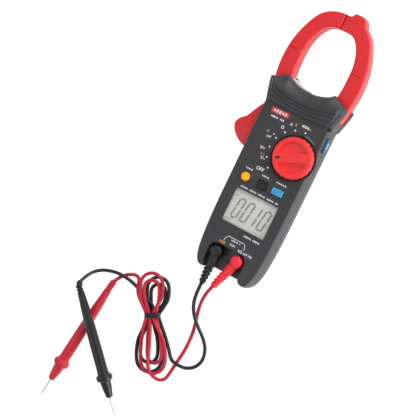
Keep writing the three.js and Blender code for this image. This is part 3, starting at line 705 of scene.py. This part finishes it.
def make_leads():
    """Both leads, each with its plug and probe, and the tie round the hank."""
    com_lead = make_lead("com_lead", COM_PLUG_CORD, BLACK_IN_HANK, COM_PROBE_CORD, COM_PROBE, "lead_black",
                         ["com_plug_cord", "com_probe_cord"])
    volt_lead = make_lead("volt_lead", VOLT_PLUG_CORD, RED_IN_HANK, VOLT_PROBE_CORD, VOLT_PROBE, "lead_red",
                          ["volt_plug_cord", "volt_probe_cord", "lead_hank"])
    com_plug = make_plug("com_plug", COM_X, 0, "lead_black", "lead_black")
    volt_plug = make_plug("volt_plug", VOLT_X, VOLT_TURN, "plug_red", "lead_red")
    com_probe = make_probe("com_probe", COM_PROBE, COM_PROBE_CORD[::-1], "probe_black", "lead_black")
    volt_probe = make_probe("volt_probe", VOLT_PROBE, VOLT_PROBE_CORD[::-1], "probe_red", "lead_red")
    tie = make_tie()
    [c * MM for c in COM_PLUG_CORD[0]]
    [c * MM for c in VOLT_PLUG_CORD[0]]


make_leads()


# ---- case


def grip_outline(half, end, top):
    """Plan of the grip: parallel sides that draw in to two rounded lobes beside the plug recess."""
    corner = (17, end + 3.8)
    a, b = (half * 0.55, end), (half * 0.66, end)
    c, d, e = (half * 0.86, end), (half * 0.93, end + 13), (half * 0.96, end + 28)
    right = [corner, *bezier((corner, a, b), 6), *bezier((b, c, d, e), 16)]
    right += [*bezier((e, (half, end + 45), (half, end + 75)), 8), (half, top)]
    return right + [(-x, y) for x, y in reversed(right)]


def head_outline(inset=0.0):
    """Plan of the head: flared shoulders and the hollow between the jaws, drawn in by inset."""
    half, top = HEAD_HALF - inset, 67.5 - inset
    right = [(half - 5.5, 37)]
    right += bezier((right[0], (half - 2.6, 47), (half - 0.6, 55.5 - inset)), 8)
    right += [(half, 60 - inset), (23.5 - inset * 0.3, top)]
    crest = bezier((right[-1], (13.5, top - 10), (-13.5, top - 10), (-23.5 + inset * 0.3, top)), 28)
    left = [(-x, y) for x, y in reversed(right[:-1])]
    return right + crest + left


def grip(name, levels, inset=0.0):
    """Skins the grip from levels of (z, half width, lower end), drawn in by inset."""
    top = GRIP_TOP - inset
    return loft(name, [(z, grip_outline(half - inset, end + inset, top)) for z, half, end in levels])


def head(name, levels):
    """Skins the head from levels of (z, inset)."""
    return loft(name, [(z, head_outline(inset)) for z, inset in levels])


def jaw_slot():
    """The slot that the jaws and the trigger swing in, open at both sides of the head."""
    low, high = JAW_LOW - GAP, JAW_HIGH + GAP
    slot = block("slot", -32.2, 32.2, 36.6, 70, low, high)
    return join(slot, block("slot_head", -45, 45, GRIP_TOP, 70, low, high),
                block("slot_side", -45, -20, -14, 36.6, low, high))


def hold_hole():
    """The side key's opening and, above it, the shallow pocket for a fingertip."""
    reach, rise = HOLD_LENGTH / 2 + GAP, HOLD_HEIGHT / 2 + GAP
    hole = block("hold_hole", 29, 42, HOLD_Y - reach, HOLD_Y + reach, HOLD_Z - rise, HOLD_Z + rise)
    return join(hole, block("hold_pocket", 33.1, 42, HOLD_Y - reach, HOLD_Y + reach, HOLD_Z, 31.5))


def plug_recess(name, grow, z0, z1):
    """The room for the plugs, open at the lower end of the case."""
    return prism(name, rectangle(-2.2, -119, 38.6 + grow, 38 + grow, 8, 8), z0, z1)


def make_front_case():
    """The front half: grip, collar and brow, hollow inside, with every opening of the face."""
    edge = [(PARTING + GAP / 2, 33.3, -126.3), (PARTING + 0.6, 33.5, -126.5), (PARTING + 1.1, 34.5, -127.5),
            (30.5, 34.2, -127.1)]
    for s, c in quarter(5):
        draw = 1.5 * (1 - c)
        edge.append((34.4 + 1.6 * s, 33.6 - draw, -126.2 + 1.4 * draw))
    body = grip("front_shell", edge)
    inside = [(PARTING - 1, 34.5, -127.5), (27, 34.3, -127.2), (FRONT - WALL, 31.6, -122.8)]
    hollow = grip("hollow", inside, WALL)
    collar = head("collar", [(JAW_HIGH - 1, 0), (31.4, 0), (33.4, 0.5), (35, 1.5), (FRONT + 0.2, 3.3)])
    collar_hollow = head("collar_hollow", [(JAW_HIGH - 2, 2.6), (FRONT - WALL - 0.3, 4.5)])
    join(hollow, collar_hollow)
    cut(hollow, prism("dial_well", circle(*DIAL, 24.5, 64), 32.4, FRONT),
        plug_recess("plug_well", 4.2, 20, FRONT - 1))
    join(body, collar)
    join(body, brow())
    cut(body, hollow, jaw_slot(), plug_recess("plug_recess", 0, SOCKET_FLOOR, 50), hold_hole(),
        prism("dial_recess", circle(*DIAL, DIAL_RADIUS + 1.8, 96), DIAL_SEAT, 50),
        prism("dial_hole", circle(*DIAL, 8.3), 30, 50),
        prism("window", rectangle(*WINDOW, 0.8), 30, 50),
        prism("select_hole", circle(*SELECT, 5.1), 30, 50),
        prism("relative_hole", rectangle(*RELATIVE, 10.1, 8.6, 1), 30, 50),
        prism("minmax_hole", rectangle(*MINMAX, 12.9, 8, 1), 30, 50))
    for x in (COM_X, VOLT_X):
        cut(body, prism("socket_hole", circle(x, SOCKET_Y, 4.6), 20, 30))
    cut(body, prism("brow_pocket", rectangle(33.0, 37.2, 4.6, 3.2, 1.4), 32.0, 50))
    eased(body, 0.35)
    dress(body, "meter", "case", "case_plastic", "front_case")


# The brow across the collar, from its lower edge up: share of the way to the crest line, and height. Then
# the slope above it: share of the way from the crest line to the hollow between the jaws, and height.
BROW_RIBS = (
    (0.0, 34.8), (0.0, 36.8), (0.05, 37.9), (0.28, 37.6), (0.33, 38.5), (0.52, 38.2), (0.57, 39.2),
    (0.75, 38.8), (0.81, 40.1), (1.0, 40.0),
)
BROW_SLOPE = ((0.12, 39.5), (0.9, 37.0), (1.0, 36.1), (1.0, 34.8))


def brow(steps=44):
    """The raised, ribbed brow of the collar, with a sloping face that follows the hollow between the jaws."""
    columns = []
    for i in range(steps + 1):
        t = 2 * i / steps - 1
        wide = 37.0 * t
        crest = 57.4 - 7.6 * (1 - t * t)
        low = 38.2 - 1.2 * (1 - t * t)
        if abs(wide) < 22.6:
            arc = 64.0 - 7.5 * (1 - (wide / 22.6) ** 2)
        else:
            arc = 64.0 - (abs(wide) - 22.6) * 0.455
        rows = [(low + (crest - low) * share, z) for share, z in BROW_RIBS]
        rows += [(crest + (arc - crest) * share, z) for share, z in BROW_SLOPE]
        columns.append([
            (t * (min(37.0, 31.7 + (y - 37) * 0.262) - max(0, z - 36) * 0.75), y, z) for y, z in rows
        ])
    count = len(columns[0])
    faces = [tuple(range(count)), tuple(reversed(range(steps * count, (steps + 1) * count)))]
    for i in range(steps):
        for k in range(count):
            a, b = i * count + k, i * count + (k + 1) % count
            faces.append((a, a + count, b + count, b))
    return piece_from("brow", [p for column in columns for p in column], faces)


def root_walls():
    """The case's side beside the fixed jaw's root: a full wall below it and a low rim along it."""
    edge = [(x, y) for x, y in head_outline() if x > 34 and y < 61]
    below = [(x, y) for x, y in edge if y < GRIP_TOP]
    wall = prism("root_wall", [(33, below[0][1]), *below, (37.1, GRIP_TOP), (33, GRIP_TOP)], 8, PARTING + 0.8)
    rim = prism("root_rim", [(x + 0.25, y) for x, y in edge] + [(x - 0.5, y) for x, y in edge[::-1]], 8, 12.6)
    return wall, rim


def make_rear_case():
    """The rear half: grip, jaw guard, battery tray, posts, and the openings of the back."""
    levels = [(14 * (1 - c), 28.2 + 6.1 * s, -121.2 - 6 * s) for s, c in quarter(7)]
    levels += [(17, 34.5, -127.5), (PARTING - 0.5, 34.5, -127.5), (PARTING - GAP / 2, 34.0, -127.0)]
    body = grip("rear_shell", levels)
    hollow = grip("hollow", [(WALL, 27, -120), (5, 30.8, -123.6), (10, 33.3, -126.2), (17, 34.5, -127.5),
                             (PARTING + 1, 34.5, -127.5)], WALL)
    guard = head("guard", [(0, 3.5), (1.2, 1.8), (3, 0.7), (5, 0.1), (JAW_LOW - GAP, 0)])
    guard_hollow = head("guard_hollow", [(WALL + 0.2, 5.5), (JAW_LOW + 0.2, 2.6)])
    join(hollow, guard_hollow)
    tray = block("tray", -16, 16, -98, -42, 1, 22)
    cut(hollow, tray, block("screw_boss", -18, 18, -106, -96.5, 1, 5),
        prism("hinge_post", circle(*PIVOT, 3.4), 1, 12))
    for x, y in SCREWS:
        cut(hollow, prism("post", circle(x, y, 3.6), 1, JAW_HIGH))
    join(body, guard)
    cut(body, hollow, jaw_slot())
    web = prism("web", head_outline(), JAW_LOW - 1, JAW_HIGH)
    cut(web, prism("web_inside", head_outline(2.2), 0, 40), block("web_low", -60, 60, 0, 56, 0, 40),
        block("web_left", -60, -19, 50, 70, 0, 40), block("web_right", 19, 60, 50, 70, 0, 40))
    join(body, web)
    join(body, *root_walls())
    for x, y in SCREWS[2:]:
        join(body, prism("head_post", circle(x, y, 3.6), 1.5, JAW_HIGH))
    cut(body, block("battery_bay", -14.5, 14.5, -96.5, -43.5, -1, 20.8),
        prism("cover_seat", rectangle(0, -73, 32.6, 62.6, 1.2), -1, 2.5),
        prism("cover_thread", circle(*COVER_SCREW, 1.3, 24), -1, 7),
        prism("hinge_hole", circle(*PIVOT, 2.3, 32), 2.5, 12), hold_hole())
    for x, y in SCREWS:
        cut(body, prism("screw_hole", circle(x, y, 1.8, 24), -1, 30),
            prism("screw_seat", circle(x, y, 3.1, 32), -1, 3))
    for y in range(0, 26, 5):
        cut(body, prism("grip_groove", rectangle(0, y, 40, 1.6, 0.7), -1, 0.6))
    eased(body, 0.3)
    dress(body, "meter", "case", "case_plastic", "rear_case")


def screw(name, x, y, length, head_top, shank, head_radius):
    """A pan-head screw standing head down, with a cross recess and a threaded shank."""
    profile = [(0, 0.35), (head_radius * 0.8, 0.35), (head_radius, 0.75), (head_radius, head_top)]
    profile.append((shank, head_top))
    pitch = 0.9
    for i in range(int((length - head_top - 1.6) / pitch)):
        z = head_top + 0.4 + i * pitch
        profile += [(shank, z), (shank * 0.82, z + pitch * 0.45)]
    profile += [(shank * 0.8, length - 1), (0, length)]
    obj = lathe(name, profile, Matrix.Translation((x, y, 0)), 24)
    slot = head_radius * 0.6
    cut(obj, block("cross_a", x - slot, x + slot, y - 0.35, y + 0.35, 0, 0.95),
        block("cross_b", x - 0.35, x + 0.35, y - slot, y + slot, 0, 0.95))
    return obj


def make_back():
    """The battery cover and all the screws."""
    cover = prism("cover_panel", rectangle(0, -73, 32, 62, 1), 0, 2.2, 0, 0.4, 3)
    cut(cover, prism("cover_hole", circle(*COVER_SCREW, 1.8, 24), -1, 3),
        prism("cover_recess", circle(*COVER_SCREW, 3.1, 32), -1, 1.2))
    for i in range(4):
        cut(cover, prism("finger_groove", rectangle(0, -49.3 - i * 3, 18, 1.4, 0.6), -1, 0.7))
    dress(eased(cover, 0.2), "meter", "case", "case_plastic", "battery_cover")
    cover_screw = screw("cover_screw", *COVER_SCREW, 6.2, 0.9, 0.95, 2.6)
    dress(cover_screw, "meter", "steel", "steel", "battery_cover_screw", limit=30)
    for i, (x, y) in enumerate(SCREWS):
        obj = screw(f"body_screw_{i + 1}", x, y, 32, 2.7, 1.4, 2.7)
        dress(obj, "meter", "steel", "steel", f"case_screw_{i + 1}", limit=30)


# ---- jaws

# Outer and inner edges of the jaws, from the fixed root to the top middle.
JAW_OUTER = (
    (36.3, 52), (39.6, 64), (40.9, 80), (39.4, 97), (34, 114.5), (25, 130), (13, 137), (0, 138.3),
)
JAW_INNER = (
    (20.5, 56), (23.7, 68), (24.8, 83), (24.1, 99), (20.2, 112), (13.5, 121), (6, 123.6), (0, 123.8),
)


def jaw_edge(half, steps=12):
    """The whole edge from the right root over the top to the left root."""
    mirrored = [(-x, y) for x, y in reversed(half[:-1])]
    return [(p[0], p[1]) for p in spline([(x, y, 0) for x, y in (*half, *mirrored)], steps)]


def arch(name, start, end, z0, z1):
    """The stretch of the arch between two fractions of its width: 0 is the inner edge, 1 the outer."""
    inner, outer = jaw_edge(JAW_INNER), jaw_edge(JAW_OUTER)

    def line(share):
        return [(a + (c - a) * share, b + (d - b) * share) for (a, b), (c, d) in zip(inner, outer)]

    return prism(name, line(end) + line(start)[::-1], z0, z1)


def moving_outline():
    """The moving jaw with its root and, beyond the hinge, the trigger."""
    split = JAW_SPLIT - GAP / 2
    outer = [(x, y) for x, y in jaw_edge(JAW_OUTER) if x < split]
    inner = [(x, y) for x, y in jaw_edge(JAW_INNER) if x < split and y > 63]
    lever = [(-32.2, 49.6), (-31.6, 46), (-31.6, 36.2), (-37.2, 34.3)]
    lever += bezier((lever[-1], (-42, 27), (-47.2, 16.6)), 8)
    lever += [(-51.4, 12.9), *bezier(((-51.4, 12.9), (-56.6, 8), (-54.4, 3)), 8)]
    lever += bezier(((-54.4, 3), (-51.5, -4), (-43, -9.5), (-34.7, -10.7)), 12)
    lever += [(-29, -11.4), (-27.5, -8), (-22, 25), (-16.5, 44), (-15.6, 50), (-17.5, 56), (-21.6, 61.5)]
    return [(split, 138.3), *outer, *lever, *inner[::-1], (split, 123.8)]


def fixed_outline():
    """The fixed jaw with its root and the tab that hooks over the moving jaw's tip."""
    split = JAW_SPLIT + GAP / 2
    outer = jaw_edge(JAW_OUTER)
    below_tab = [(x, y) for x, y in outer if x > 18.7 and y > 63]
    past_tab = [(x, y) for x, y in outer if split < x < 2.6]
    inner = [(x, y) for x, y in jaw_edge(JAW_INNER) if x > split and y > 63]
    tab = [(18.2, 137.4), (17.4, 139.4), (16.2, 140.8), (13.6, 142.1), (9, 142.3), (5.4, 142), (4.5, 141.2),
           (3.7, 139.2)]
    root = [(21.6, 61.5), (17.5, 56), (14.8, 50), (14.8, 40.5), (31.9, 40.5), (31.9, GRIP_TOP + GAP),
            (36.6, GRIP_TOP + GAP), (38.4, 54), (39.3, 60)]
    return [*below_tab, *tab, *past_tab, (split, 138.3), (split, 123.8), *inner[::-1], *root]


def jaw_half(name, outline, front, hinge):
    """The front or rear shell of a jaw, hollow for its coil and core."""
    z0, z1 = (JAW_MIDDLE + GAP / 2, JAW_HIGH) if front else (JAW_LOW, JAW_MIDDLE - GAP / 2)
    soft, fine = 1.9, 0.25
    shell = prism(name, outline, z0, z1, soft if front else fine, fine if front else soft, 5)
    z2, z3 = (JAW_MIDDLE - 1, JAW_HIGH - WALL) if front else (JAW_LOW + WALL, JAW_MIDDLE + 1)
    room = arch("room", 0.14, 0.86, z2, z3)
    cut(room, block("tip_wall", JAW_SPLIT - 2.2, JAW_SPLIT + 2.2, 110, 150, 0, 40))
    core_way = arch("core_way", 0.26, 0.74, max(z2, 14.1), min(z3, 21.9))
    cut(shell, join(room, core_way), hinge)
    return shell


def make_jaws():
    """The two shells of each jaw, with a shallow mark across each."""
    for name, body, outline, place, radius, groove in (
        ("moving_jaw", "moving_jaw", moving_outline(), PIVOT, 2.3, (-38, -30.6)),
        ("fixed_jaw", "meter", fixed_outline(), SCREWS[3], 4, (27.2, 35)),
    ):
        for front in (False, True):
            half = "front" if front else "rear"
            shell = jaw_half(f"{name}_{half}_shell", outline, front,
                             prism("hinge_hole", circle(*place, radius, 32), 0, 40))
            depth = (JAW_HIGH - 1.1, JAW_HIGH + 1) if front else (JAW_LOW - 1, JAW_LOW + 1.1)
            cut(shell, block("mark", *groove, 90.6, 92.0, *depth))
            dress(shell, body, "jaw", "jaw_plastic", f"{name}_{half}", limit=30)


# ---- dial


def scalloped_ring(radius, depth, count=24, steps=240):
    """The dial's edge, with count shallow grooves."""
    ring = []
    for i in range(steps):
        angle = math.tau * i / steps
        r = radius - depth * (0.5 - 0.5 * math.cos(angle * count)) ** 0.7
        ring.append(on_circle(0, 0, r, angle))
    return ring


def half_moon(name, side, radius, inner, z0, steps=40):
    """One of the finger hollows beside the dial's bar: floor rounded up to the wall."""
    rings = []
    for z, inset in ((z0, 1.1), (z0 + 0.2, 0.55), (z0 + 0.6, 0.18), (z0 + 1.2, 0), (z0 + 8, 0)):
        r, y0 = radius - inset, inner + inset
        low = math.asin(y0 / r)
        ring = [on_circle(0, 0, r, low + (math.pi - 2 * low) * i / steps) for i in range(steps + 1)]
        rings.append((z, ring if side > 0 else [(-x, -y) for x, y in ring]))
    return loft(name, rings)


def make_dial():
    """The dial: grooved edge, two finger hollows beside its bar, and a dark pointer mark."""
    levels = (
        (DIAL_SEAT + GAP, 19.4, 0.3), (DIAL_SEAT + 0.8, 19.8, 0.42), (37.6, 19.75, 0.42), (39, 19.6, 0.42),
        (39.9, 19.3, 0.38), (40.5, 18.9, 0.3), (40.85, 18.3, 0.15), (DIAL_TOP, 17.6, 0),
    )
    knob = loft("knob", [(z, scalloped_ring(radius, depth)) for z, radius, depth in levels])
    for side in (1, -1):
        cut(knob, half_moon("moon", side, 14.6, 4.6, DIAL_TOP - 3.8))
    cut(knob, block("pointer", 11.6, 15.8, -1.0, 1.0, DIAL_TOP - 0.9, DIAL_TOP + 1),
        prism("spigot", circle(0, 0, 7.8), 30, 36.4))
    eased(knob, 0.3, 45, 3)
    fill = prism("pointer_fill", rectangle(13.7, 0, 3.9, 1.7, 0.3), DIAL_TOP - 0.95, DIAL_TOP - 0.35)
    for obj in (knob, fill):
        obj.data.transform(placed(DIAL[0] * MM, DIAL[1] * MM, 0, DIAL_ANGLE))
    dress(knob, "dial", "knob", "dial_red", "dial_knob", limit=35)
    dress(fill, "dial", "key_black", "black_button")


# ---- keys


def make_trim():
    """Dark plates and a pale strip, all painted light: the black ring paints the shade in the recess round
    the dial, the black plate paints the shade in the pocket over the side key, and the pale strip beside the
    moving jaw paints a highlight on the lit wall of the hollow.
    """
    # Painted shade: a black ring on the floor of the dial's recess darkens the gap round the dial.
    seat = prism("dial_painted_shade_ring", circle(*DIAL, DIAL_RADIUS + 1.7, 96), DIAL_SEAT + 0.02, DIAL_SEAT + 0.2)
    cut(seat, prism("seat_hole", circle(*DIAL, 8.6), 30, 40))
    dress(seat, "meter", "key_black", "black_plastic")
    # Painted shade: a black plate in the pocket over the side key.
    plate = block("hold_shade", 33.1, 33.4, HOLD_Y - 7, HOLD_Y + 7, 28.7, 31.4)
    dress(eased(plate, 0.1), "meter", "key_black", "black_plastic")
    # Painted highlight: a pale strip along the wall of the hollow between the jaws, where that wall is lit.
    crest = [(x, y) for x, y in head_outline() if -21.5 < x < -3 and y > 55]
    outer = [(x + 0.45, y + 0.5) for x, y in crest]
    painted_highlight = prism("hollow_painted_highlight", crest[::-1] + outer, 11, 30.8, 0.2, 0.2, 2)
    dress(painted_highlight, "meter", "painted_highlight", "case_plastic")


def make_keys():
    """The three front keys, the ring round the yellow one, and the side key with its mark."""
    for name, outline, flange, top, look, slot in (
        ("select_button", circle(*SELECT, 4.25), circle(*SELECT, 6), 37.3, "yellow", "yellow_button"),
        ("relative_button", rectangle(*RELATIVE, 9.5, 8, 1.2), rectangle(*RELATIVE, 11.5, 10, 1), 37.0,
         "key_black", "black_button"),
        ("minmax_button", rectangle(*MINMAX, 11.8, 6.9, 0.7), rectangle(*MINMAX, 14, 9, 1), 37.0,
         "blue", "blue_button"),
    ):
        key = loft(name + "_cap", [(31.2, outline), (35.6, outline)] + [
            (top - 0.6 + 0.6 * math.sin(a), turned_in(outline, 0.25 + 0.6 * (1 - math.cos(a))))
            for a in (0, 0.5, 1.0, math.pi / 2)
        ])
        join(key, prism("flange", flange, 31.2, 33.2))
        dress(key, name, look, slot, name, limit=35)
    ring = prism("select_rim", circle(*SELECT, 4.7), 33.4, 36.8, 0.4)
    cut(ring, prism("rim_hole", circle(*SELECT, 4.3), 30, 40))
    dress(ring, "select_button", "amber", "yellow_button")
    reach, rise = HOLD_LENGTH / 2, HOLD_HEIGHT / 2
    side = Matrix(((0, 0, 1, 0), (1, 0, 0, 0), (0, 1, 0, 0), (0, 0, 0, 1)))
    cap = prism("hold_cap", rectangle(HOLD_Y, HOLD_Z, 2 * reach, 2 * rise, 1.6), 29.9, 35.7, 0.8)
    join(cap, prism("flange", rectangle(HOLD_Y, HOLD_Z, 2 * reach + 2, 2 * rise + 2, 1), 29.9, 31.1))
    for y in (HOLD_Y - 5, HOLD_Y + 5):
        cut(cap, block("hold_rib", y - 0.35, y + 0.35, HOLD_Z - 2.4, HOLD_Z + 2.4, 35.3, 37))
    cap.data.transform(side)
    dress(cap, "hold_button", "blue_dark", "blue_button", "hold_button", limit=35)
    mark = prism("hold_mark", rectangle(HOLD_Y - 1.8, HOLD_Z, 0.8, 3.6, 0.2), 35.65, 35.8)
    for y, width, height in ((1.8, 0.8, 3.6), (0, 3, 0.8)):
        merge(mark, prism("stroke", rectangle(HOLD_Y + y, HOLD_Z, width, height, 0.2), 35.65, 35.8))
    mark.data.transform(side)
    dress(mark, "hold_button", "white", "blue_button")


# ---- display and legends


def stroke(name, line, width, z):
    """A thin printed or moulded line following points in plan."""
    left, right = [], []
    for i, p in enumerate(line):
        a, b = Vector(line[max(i - 1, 0)]), Vector(line[min(i + 1, len(line) - 1)])
        ahead = (b - a).normalized()
        across = Vector((-ahead.y, ahead.x)) * width / 2
        left.append(tuple(Vector(p) + across))
        right.append(tuple(Vector(p) - across))
    return prism(name, right + left[::-1], z, z + 0.12)


def merged(name, parts):
    """All the parts as one object."""
    first = parts[0]
    for other in parts[1:]:
        merge(first, other)
    first.name = name
    return first


def lettering(text, x, y, size, z):
    """Generic words, figures and unit signs as thin raised print, from the built-in font."""
    curve = bpy.data.curves.new("sign", "FONT")
    curve.body = text
    curve.size = size * MM
    curve.extrude = 0.06 * MM
    curve.offset = 0.09 * MM
    curve.align_x, curve.align_y = "CENTER", "CENTER"
    curve.resolution_u = 3
    obj = linked("sign", curve)
    graph = bpy.context.evaluated_depsgraph_get()
    mesh = bpy.data.meshes.new_from_object(obj.evaluated_get(graph))
    bpy.data.objects.remove(obj)
    mesh.transform(Matrix.Translation(Vector((x, y, z)) * MM))
    return linked("sign", mesh)


def digit(figure, x, y, z):
    """A slanted 0 or 1 of a seven-segment display: thin bars with small gaps between them."""
    w, h = DIGIT_SIZE[0] / 2, DIGIT_SIZE[1] / 2
    lean, half_bar, gap = 0.16, 0.98, 0.75
    right = [((w, 0), (w, h)), ((w, -h), (w, 0))]
    rest = [((w, h), (-w, h)), ((-w, -h), (w, -h)), ((-w, 0), (-w, -h)), ((-w, h), (-w, 0))]
    bars = []
    for ends in right if figure == 1 else right + rest:
        a, b = (Vector(end) for end in ends)
        ahead = (b - a).normalized()
        across = Vector((-ahead.y, ahead.x)) * half_bar
        a, b = a + ahead * gap, b - ahead * gap
        ring = [a - across, b - across, b + ahead * 0.4, b + across, a + across, a - ahead * 0.4]
        bars.append(prism("bar", [(x + p.x + p.y * lean, y + p.y) for p in ring], z, z + 0.1))
    return bars


def make_display():
    """The window, the glass behind it and the figures that it shows."""
    x, y, width, height = WINDOW
    lens = prism("lens", rectangle(x, y, width - 0.6, height - 0.6, 0.6), 33.9, 35.2, 0.2, 0.2, 2)
    dress(lens, "meter", "window", "lens", "display_lens")
    glass = prism("glass", rectangle(x, y, 47.4, 37, 0.5), 31.4, 33.3, 0.15, 0.15, 2)
    dress(glass, "meter", "lcd", "display_glass", "display_glass")
    parts = []
    for figure, place in ((0, -12.8), (0, -3.0), (1, 4.8), (0, 14.8)):
        parts += digit(figure, x + place, y - 0.9, 33.3)
    parts.append(prism("point", rectangle(x - 8.4, y - 11, 1.1, 1.1), 33.3, 33.4))
    parts.append(prism("sign", rectangle(x - 19, y + 9.4, 2.4, 0.7), 33.3, 33.4))
    parts.append(prism("bar_low", rectangle(x - 17.4, y - 13.6, 5.6, 0.6), 33.3, 33.4))
    dress(merged("figures", parts), "meter", "segment", "display_glass")


def round_dial(angle, radius):
    """The point at so many degrees and so far from the middle of the dial."""
    return on_circle(*DIAL, radius, math.radians(angle))


def make_legends():
    """What is printed on the face; words that are not generic are rows of marks. The grey arc beside the dial
    is a painted highlight on the edge of its recess.
    """
    z = FRONT - 0.03
    white, tan = [], []
    for angle in (225, 202.5, 180, 157.5, 135, 112.5, 90):
        white.append(prism("dot", circle(*round_dial(angle, 25.3), 0.85, 20), z, z + 0.12))
    white.append(prism("dot", circle(*round_dial(155.5, 29.2), 0.7, 20), z, z + 0.12))
    for text, x, y, size in (
        ("OFF", -9.2, -21.8, 4.6), ("V~", -11.6, -11.8, 4.2), ("V=", -16, -3.4, 4.4), ("mV", -15.2, 8.6, 3.2),
        ("Ω", -7, 21.4, 4), ("A", -0.6, 27.2, 3.8), ("400A~", 13.8, 30.4, 3.6),
        ("VΩ mV Hz", 13.2, -98.1, 3.4), ("COM", -1.2, -96.4, 2.4),
    ):
        white.append(lettering(text, x, y, size, z))
    for text, x, y, size in (("→+", -13.6, -8.4, 3.2), ("Ω", -18.2, 12.8, 3.2), ("%", 3.6, 28.6, 3.4)):
        tan.append(lettering(text, x, y, size, z))
    for x, y, width in ((-18.6, -25.9, 7.6), (-1.2, -25.9, 7.6), (15.4, -25.7, 11)):
        white += ticks(x, y, width, 1.5, z)
    white += ticks(0.8, -43.4, 40, 1.7, z, 26)
    white += ticks(13, -83.5, 17, 1.9, z, 11)
    white += ticks(0.4, -92.2, 10, 1.6, z, 7)
    white.append(stroke("bracket", [(-11, -95.5), (-10.6, -93.4), (-9, -90.6), (-7.6, -90), (8.2, -90),
                                    (9.4, -90.6), (10.4, -93), (10.8, -95.5)], 0.55, z))
    tan += ticks(-11.8, -97.5, 6.6, 2.6, z, 3)
    # Painted highlight: a grey band along the edge of the dial's recess, not print.
    arc = stroke("painted_rim_highlight", [round_dial(angle, 22.7) for angle in range(86, 56, -2)], 1.7, z)
    badge = prism("badge", rectangle(-15, 32.6, 18, 5, 0.6), z, z + 0.25, 0.12)
    name_bar = ticks(-15.4, 26.9, 14, 1.9, z, 9)
    name_bar += ticks(-15, 32.6, 14.5, 2.8, z + 0.22, 5)
    dress(merged("legends_white", white + name_bar), "meter", "white", "case_plastic")
    dress(merged("legends_orange", tan), "meter", "tan", "case_plastic")
    dress(arc, "meter", "grey", "case_plastic")
    dress(badge, "meter", "badge", "case_plastic")


def ticks(x, y, width, height, z, count=5):
    """A row of small marks that stands for a printed word, with a space after every five."""
    pitch = width / count
    result = []
    for i in range(count):
        if i % 6 == 5:
            continue
        tall = height * (1 if i % 3 else 0.72)
        place = rectangle(x - width / 2 + pitch * (i + 0.5), y, pitch * 0.62, tall)
        result.append(prism("mark", place, z, z + 0.1))
    return result


# ---- pieces kept from the part

# Their looks, by the last word of the node's name.
KEPT = {
    "core": "ferrite", "coil": "copper", "pin": "steel", "spring": "steel", "rotor": "acetal",
    "wiper": "brass", "ball": "steel", "switch": "can", "frame": "chip", "backlight": "backlight",
    "connector": "elastomer", "board": "board", "chip": "chip", "buzzer": "chip", "resistor": "ceramic",
    "socket": "brass", "battery": "battery", "snap": "chip",
}


def finish_kept():
    """Gives the part's own inner pieces, which stay as they are, their materials."""
    for name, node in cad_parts.items():
        look = KEPT.get(name.split("_")[-1])
        if look:
            paint(node, look)


make_front_case()
make_rear_case()
make_back()
make_jaws()
make_dial()
make_trim()
make_keys()
make_display()
make_legends()
finish_kept()


# ---- stage


def make_stage():
    """A white floor, an even white world and three area lights; colours are shown as they are."""
    bpy.context.scene.view_settings.view_transform = "Standard"
    floor = block("floor", -3000, 3000, -3000, 3000, -20, -0.05)
    material = surface("floor_white", (178, 178, 178), 0.7, mottle=0.01)
    shader = material.node_tree.nodes["Principled BSDF"]
    shader.inputs["Emission Color"].default_value = (1, 1, 1, 1)
    shader.inputs["Emission Strength"].default_value = FLOOR_GLOW
    floor.data.materials.append(material)
    floor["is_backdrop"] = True
    world = bpy.data.worlds.new("studio")
    world.use_nodes = True
    world.node_tree.nodes["Background"].inputs["Color"].default_value = (1, 1, 1, 1)
    world.node_tree.nodes["Background"].inputs["Strength"].default_value = WORLD_GLOW
    bpy.context.scene.world = world
    for name, place, size, power in LIGHTS:
        data = bpy.data.lights.new(name, "AREA")
        data.size = size
        data.energy = power
        light = linked(name, data)
        light.location = place
        light.rotation_euler = (Vector((0, 0, 0.02)) - light.location).to_track_quat("-Z", "Y").to_euler()


def save_sizes():
    """Works out the boxes of the part and of the finished model, in metres."""
    boxes = {"cad": CAD_BOX, "visual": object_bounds()}
    {name: [list(corner) for corner in box] for name, box in boxes.items()}


make_stage()
save_sizes()
